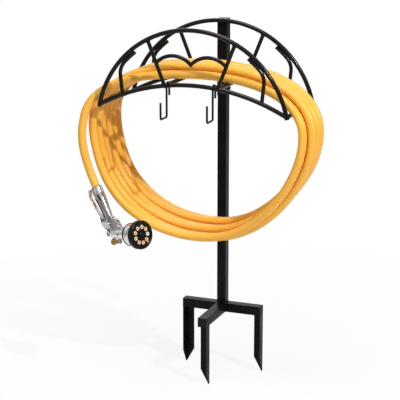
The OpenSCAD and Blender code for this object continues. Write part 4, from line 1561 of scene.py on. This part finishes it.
@dataclass
class Dial:
    """The pattern dial, its nine outlets and index dot.

    Attributes:
        back: Where the dial's back stands, on u.
        rim: Width of the rim round its sunk face.
        recess: How far the face is sunk.
        tints: The outlets' colours, from the first round the dial.
        outlet_circle: Radius of the circle that the outlets stand on.
        first_angle: Angle of the first outlet, in degrees from below.
        flutes: Number of flutes round the drum, flute_depth deep.
        axle: Radius of the axle's hole.
        dot: The index dot's outline: height over the face, and radius.
        dot_at: Its place on the face, as (side, v).
    """

    nozzle: NozzleFrame
    back: float = 107.3
    depth: float = 14.0
    radius: float = 37.5
    rim: float = 7.5
    recess: float = 2.0
    tints: tuple[OutletTint, ...] = (
        OutletTint.ORANGE, OutletTint.ORANGE, OutletTint.WHITE, OutletTint.YELLOW,
        OutletTint.PINK, OutletTint.CREAM, OutletTint.CREAM, OutletTint.CREAM, OutletTint.PINK)
    outlet_circle: float = 20.7
    outlet_radius: float = 5.4
    first_angle: float = 8.0
    flutes: int = 24
    flute_depth: float = 0.9
    axle: float = 4.06
    dot: tuple[Pair, ...] = ((-0.3, 1.9), (0.2, 1.9), (0.5, 1.5), (0.6, 0.7), (0.62, 0.02))
    dot_at: Pair = (20.0, -21.4)

    def face(self) -> float:
        """Where the sunk face stands, on u."""
        return self.back + self.depth - self.recess

    def disc(self) -> Object:
        """Makes the dial: a fluted drum with a rounded rim round a sunk face.

        Returns:
            The dial.
        """
        back, front, face = self.back, self.back + self.depth, self.face()
        r, inner = self.radius, self.radius - self.rim
        outline = [(back, self.axle), (back, r - 1.5), (back + 1.5, r), (back + 3.2, r),
                   (back + 3.4, r), (front - 3.6, r), (front - 3.4, r), (front - 2.2, r),
                   (front - 0.4, r - 1.4), (front, r - 3.4), (front - 0.2, inner + 1.2),
                   (face, inner), (face, inner - 2.0), (face, self.axle + 1.0),
                   (face, self.axle)]
        flutes = (self.flutes, self.flute_depth, back + 2.8, front - 2.6)
        disc = self.nozzle.skin("dial_disc", revolved(rounded(outline, 0.8), 288, flutes),
                                loop=True)
        return dress(disc, DIAL_PLASTIC, "nozzle_dial", ["dial"])

    def outlet(self, number: int, tint: OutletTint) -> Object:
        """Makes one outlet: a domed ring round a narrow throat.

        Args:
            number: Its place round the dial, from 0.
            tint: The ring's colour.

        Returns:
            The ring.
        """
        face, r = self.face(), self.outlet_radius
        outline = [(face - 3, r), (face + 0.5, r), (face + 1.1, r - 0.7), (face + 1.0, r * 0.6),
                   (face + 0.4, r * 0.42), (face + 0.1, r * 0.3), (face - 1.5, r * 0.27),
                   (face - 3, r * 0.27)]
        rings = revolved(rounded(outline, 0.35, 2), 40)
        angle = math.radians(360 * number / len(self.tints) + self.first_angle)
        rings = rings + np.array([0, math.sin(angle), -math.cos(angle)]) * self.outlet_circle
        ring = self.nozzle.skin(f"outlet_ring_{number + 1}", rings, loop=True)
        return dress(ring, tint.finish(), "nozzle_dial",
                     ["spray_outlets"] if number == 0 else [])

    def index_dot(self) -> Object:
        """Makes the small white index dot that stands on the face by the rim.

        Returns:
            The dot.
        """
        face = self.face()
        rings = revolved([(face + height, radius) for height, radius in self.dot], 24)
        dot = self.nozzle.skin("index_dot", rings + np.array([0, *self.dot_at]))
        return dress(dot, OutletTint.WHITE.finish(), "nozzle_dial")

    def build(self) -> None:
        """Builds the dial with its outlets in the photograph's colours."""
        self.disc()
        for number, tint in enumerate(self.tints):
            self.outlet(number, tint)
        self.index_dot()


# Welds


@dataclass
class Welds:
    """Weld beads under the paint, where arms meet the post and rods meet rods.

    Attributes:
        post_side: Side of the post and of the arms.
        half_span: Half distance between the hanger's corners.
        corner_height: Height of the corners.
        arch_rise: Rise of the arches over the corners.
        lower_rise: Rise of the lower arcs over them.
        frames: Places y of the front and the back frame.
        rod: Radius of the arches' rods, and spoke of the spokes.
        cross_rod: Radius of the rods that cross between the frames.
        spoke_foot: Distance of a spoke's foot from the middle.
        spoke_top: Where a spoke's middle line meets the arch, as (x, z).
        bead: Radius of a bead.
        ripple: Share by which the bead swells at each ripple.
        pitch: Distance between ripples.
    """

    post_side: float = 25.0
    half_span: float = 256.0
    corner_height: float = 608.0
    arch_rise: float = 204.5
    lower_rise: float = 64.5
    frames: Pair = (-236.45, -19.25)
    rod: float = 5.75
    spoke: float = 5.0
    cross_rod: float = 5.7
    spoke_foot: float = 72.5
    spoke_top: Pair = (119, 783.975)
    bead: float = 1.5
    ripple: float = 0.2
    pitch: float = 3.4

    def hoop(self, path: np.ndarray, axis: np.ndarray) -> Part:
        """Makes a bead round a closed path.

        Its radius is bead (1 + ripple |sin(pi n s / length)|) at a distance
        s along the path, with n the whole number of pitches nearest to the
        path's length.

        Args:
            path: Points of the path in millimetres.
            axis: The way that the path runs round.

        Returns:
            The bead's vertices and faces.
        """
        ahead = np.roll(path, -1, 0)
        way = unit(ahead - np.roll(path, 1, 0))
        out = unit(np.cross(way, axis))
        steps = np.linalg.norm(ahead - path, axis=1)
        along = np.concatenate([[0], np.cumsum(steps)[:-1]])
        ripples = max(1, round(steps.sum() / self.pitch))
        swell = np.abs(np.sin(np.pi * ripples * along / steps.sum()))
        size = self.bead * (1 + self.ripple * swell)
        return tube_part(rings_round(path, out, np.cross(out, way), size, 10) * MM, True)

    def square(self, centre: Sequence[float], axis: Sequence[float]) -> Part:
        """Makes the bead round a square arm's end, a square with round corners.

        Its points are half |cos a|^(1/6) and half |sin a|^(1/6), each with
        its sign.

        Args:
            centre: Middle of the arm's end, in millimetres.
            axis: The way that the arm leaves, of length 1.

        Returns:
            The bead's vertices and faces.
        """
        c, s = squared(circle(360, 0.5), 1 / 6, 1 / 6)
        up = np.array([0.0, 0.0, 1.0])
        flat = (c[:, None] * np.cross(up, axis) + s[:, None] * up) * self.post_side / 2
        return self.hoop(np.array(centre) + flat, np.array(axis, float))

    def saddle(self, at: Sequence[float], way: np.ndarray, radius: float,
               other: np.ndarray) -> Part:
        """Makes the bead where a rod ends on the side of an arch's rod.

        Each line of the rod's surface, w + t way, meets the other rod
        where its distance from that rod's axis is the other radius:
        |b + t a|^2 = r^2, with a and b the parts of way and w across the
        other axis.

        Args:
            at: Where the two middle lines meet, in millimetres.
            way: The way that the rod leaves, of length 1.
            radius: The rod's radius.
            other: The way that the other rod runs there, of length 1.

        Returns:
            The bead's vertices and faces.
        """
        side = unit(np.cross(way, other))
        up = np.cross(side, way)
        angle = circle(72)[:, None]
        w = radius * (np.cos(angle) * side + np.sin(angle) * up)
        a = way - (way @ other) * other
        b = w - (w @ other)[:, None] * other
        ab, bb = b @ a, np.einsum("ij,ij->i", b, b)
        t = (-ab + np.sqrt(np.maximum(0, ab**2 - (a @ a) * (bb - self.rod**2)))) / (a @ a)
        return self.hoop(np.array(at) + w + t[:, None] * way, way)

    def arc_radius(self, rise: float) -> float:
        """Radius of an arc over the span: (half span^2 + rise^2) / (2 rise)."""
        return (self.half_span**2 + rise**2) / (2 * rise)

    def tangent(self, x: float, rise: float) -> np.ndarray:
        """The way of an arc over the span at x, from its rise at the middle."""
        radius = self.arc_radius(rise)
        return np.array([math.sqrt(radius**2 - x**2), 0.0, -x]) / radius

    def height(self, x: float, rise: float) -> float:
        """The height of an arc over the span at x, from its rise at the middle."""
        radius = self.arc_radius(rise)
        return self.corner_height + rise - radius + math.sqrt(radius**2 - x**2)

    def rods(self) -> list[Part]:
        """Beads of the spokes and of the rods that cross between the frames.

        Returns:
            Each bead's vertices and faces.
        """
        foot_height = self.height(self.spoke_foot, self.lower_rise)
        beads = []
        for y, inward in zip(self.frames, (1.0, -1.0)):
            across = np.array([0.0, inward, 0.0])
            for x in (-1.0, 1.0):
                foot = np.array([x * self.spoke_foot, y, foot_height])
                top = np.array([x * self.spoke_top[0], y, self.spoke_top[1]])
                corner = [x * self.half_span, y, self.corner_height]
                run = unit(top - foot)
                lower, upper, end = (self.tangent(x * place, rise) for place, rise in (
                    (self.spoke_foot, self.lower_rise), (self.spoke_top[0], self.arch_rise),
                    (self.half_span, self.arch_rise)))
                beads += [self.saddle(foot, run, self.spoke, lower),
                          self.saddle(top, -run, self.spoke, upper),
                          self.saddle(foot, across, self.cross_rod, lower),
                          self.saddle(corner, across, self.cross_rod, end)]
        return beads

    def build(self) -> None:
        """Makes the beads of the arms and those of the rods."""
        half = self.post_side / 2
        arms = [self.square((x * half, y * half, half), (x, y, 0))
                for x, y in ((-1, 0), (1, 0), (0, -1))]
        for name, parts in (("arm_welds", arms), ("rod_welds", self.rods())):
            dress(make_object(name, *gathered(parts)), BLACK_PAINT, "stand")


# Finishes of the solids that stay


@dataclass
class Stand:
    """The solids that are kept, each with its finish.

    Attributes:
        tubes: Solids of square tube and angle, under the paint.
        eased: Other solids whose sharp edges are eased as theirs are.
        edge: Width of an eased edge, in millimetres.
        edge_steps: Stretches across an eased edge.
        sharp: Least angle of an edge that is eased, in degrees.
        doubles: Distance within which loose corners are joined.
    """

    tubes: tuple[str, ...] = ("lower_post", "upper_post", "left_arm", "right_arm", "front_arm",
                              "left_prong", "right_prong", "front_prong")
    eased: tuple[str, ...] = ("post_cap", "sleeve_nut", "sleeve_bolt")
    edge: float = 0.7
    edge_steps: int = 2
    sharp: float = 35.0
    doubles: float = 0.01

    def ease_edges(self, node: Object) -> None:
        """Closes a solid's loose triangles and rounds its sharp edges, both live.

        Args:
            node: The solid.
        """
        joined = node.modifiers.new("closed", "WELD")
        joined.merge_threshold = self.doubles * MM
        soft = node.modifiers.new("eased edges", "BEVEL")
        soft.width, soft.segments = self.edge * MM, self.edge_steps
        soft.limit_method, soft.angle_limit = "ANGLE", math.radians(self.sharp)

    def finishes(self) -> dict[Finish, Sequence[str]]:
        """Sorts the solids that are kept.

        Returns:
            The solids under each finish.
        """
        wires = [f"{frame_side}_{wire}" for frame_side in ("front", "back")
                 for wire in ("arch", "lower_arc", "spokes", "curls")]
        return {
            BLACK_PAINT: self.tubes,
            BLACK_WIRE: wires + ["double_arch", "corner_rods", "inner_rods", "left_hook",
                                 "right_hook"],
            CAP_PLASTIC: ["post_cap", "arm_end_plugs"],
            DARK_STEEL: ["sleeve_bolt", "sleeve_washers", "sleeve_nut"],
            SEAL_AND_SHADE: ["hose_washer", "inlet_washer"],
            BRASS: ["hose_ferrule", "swivel_nut", "hose_male_end"],
            DARK_BRASS: ["stem_knob", "flow_knob"],
            CHROME: ["dial_collar", "lever_pin", "valve_stem"],
            SATIN_METAL: ["inlet_collar"],
            DIAL_PLASTIC: ["dial_screw"],
        }

    def build(self) -> None:
        """Gives each kept solid its finish."""
        for finish, names in self.finishes().items():
            for name in names:
                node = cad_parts[name]
                node.data.materials.clear()
                node.data.materials.append(finish.material())
            LOG.info("%s on %d solids", finish.name, len(names))
        for name in self.tubes + self.eased:
            self.ease_edges(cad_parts[name])


def main() -> None:
    """Builds the scene: camera and hose first, then the rest."""
    logging.basicConfig(level=logging.INFO, format="%(name)s: %(message)s")
    Camera().build()
    nozzle = NozzleFrame()
    Hose(nozzle).build()
    Casting(nozzle).build()
    Lever(nozzle).build()
    Dial(nozzle).build()
    Welds().build()
    Stand().build()
    Studio().build()


if __name__ == "__main__":
    main()
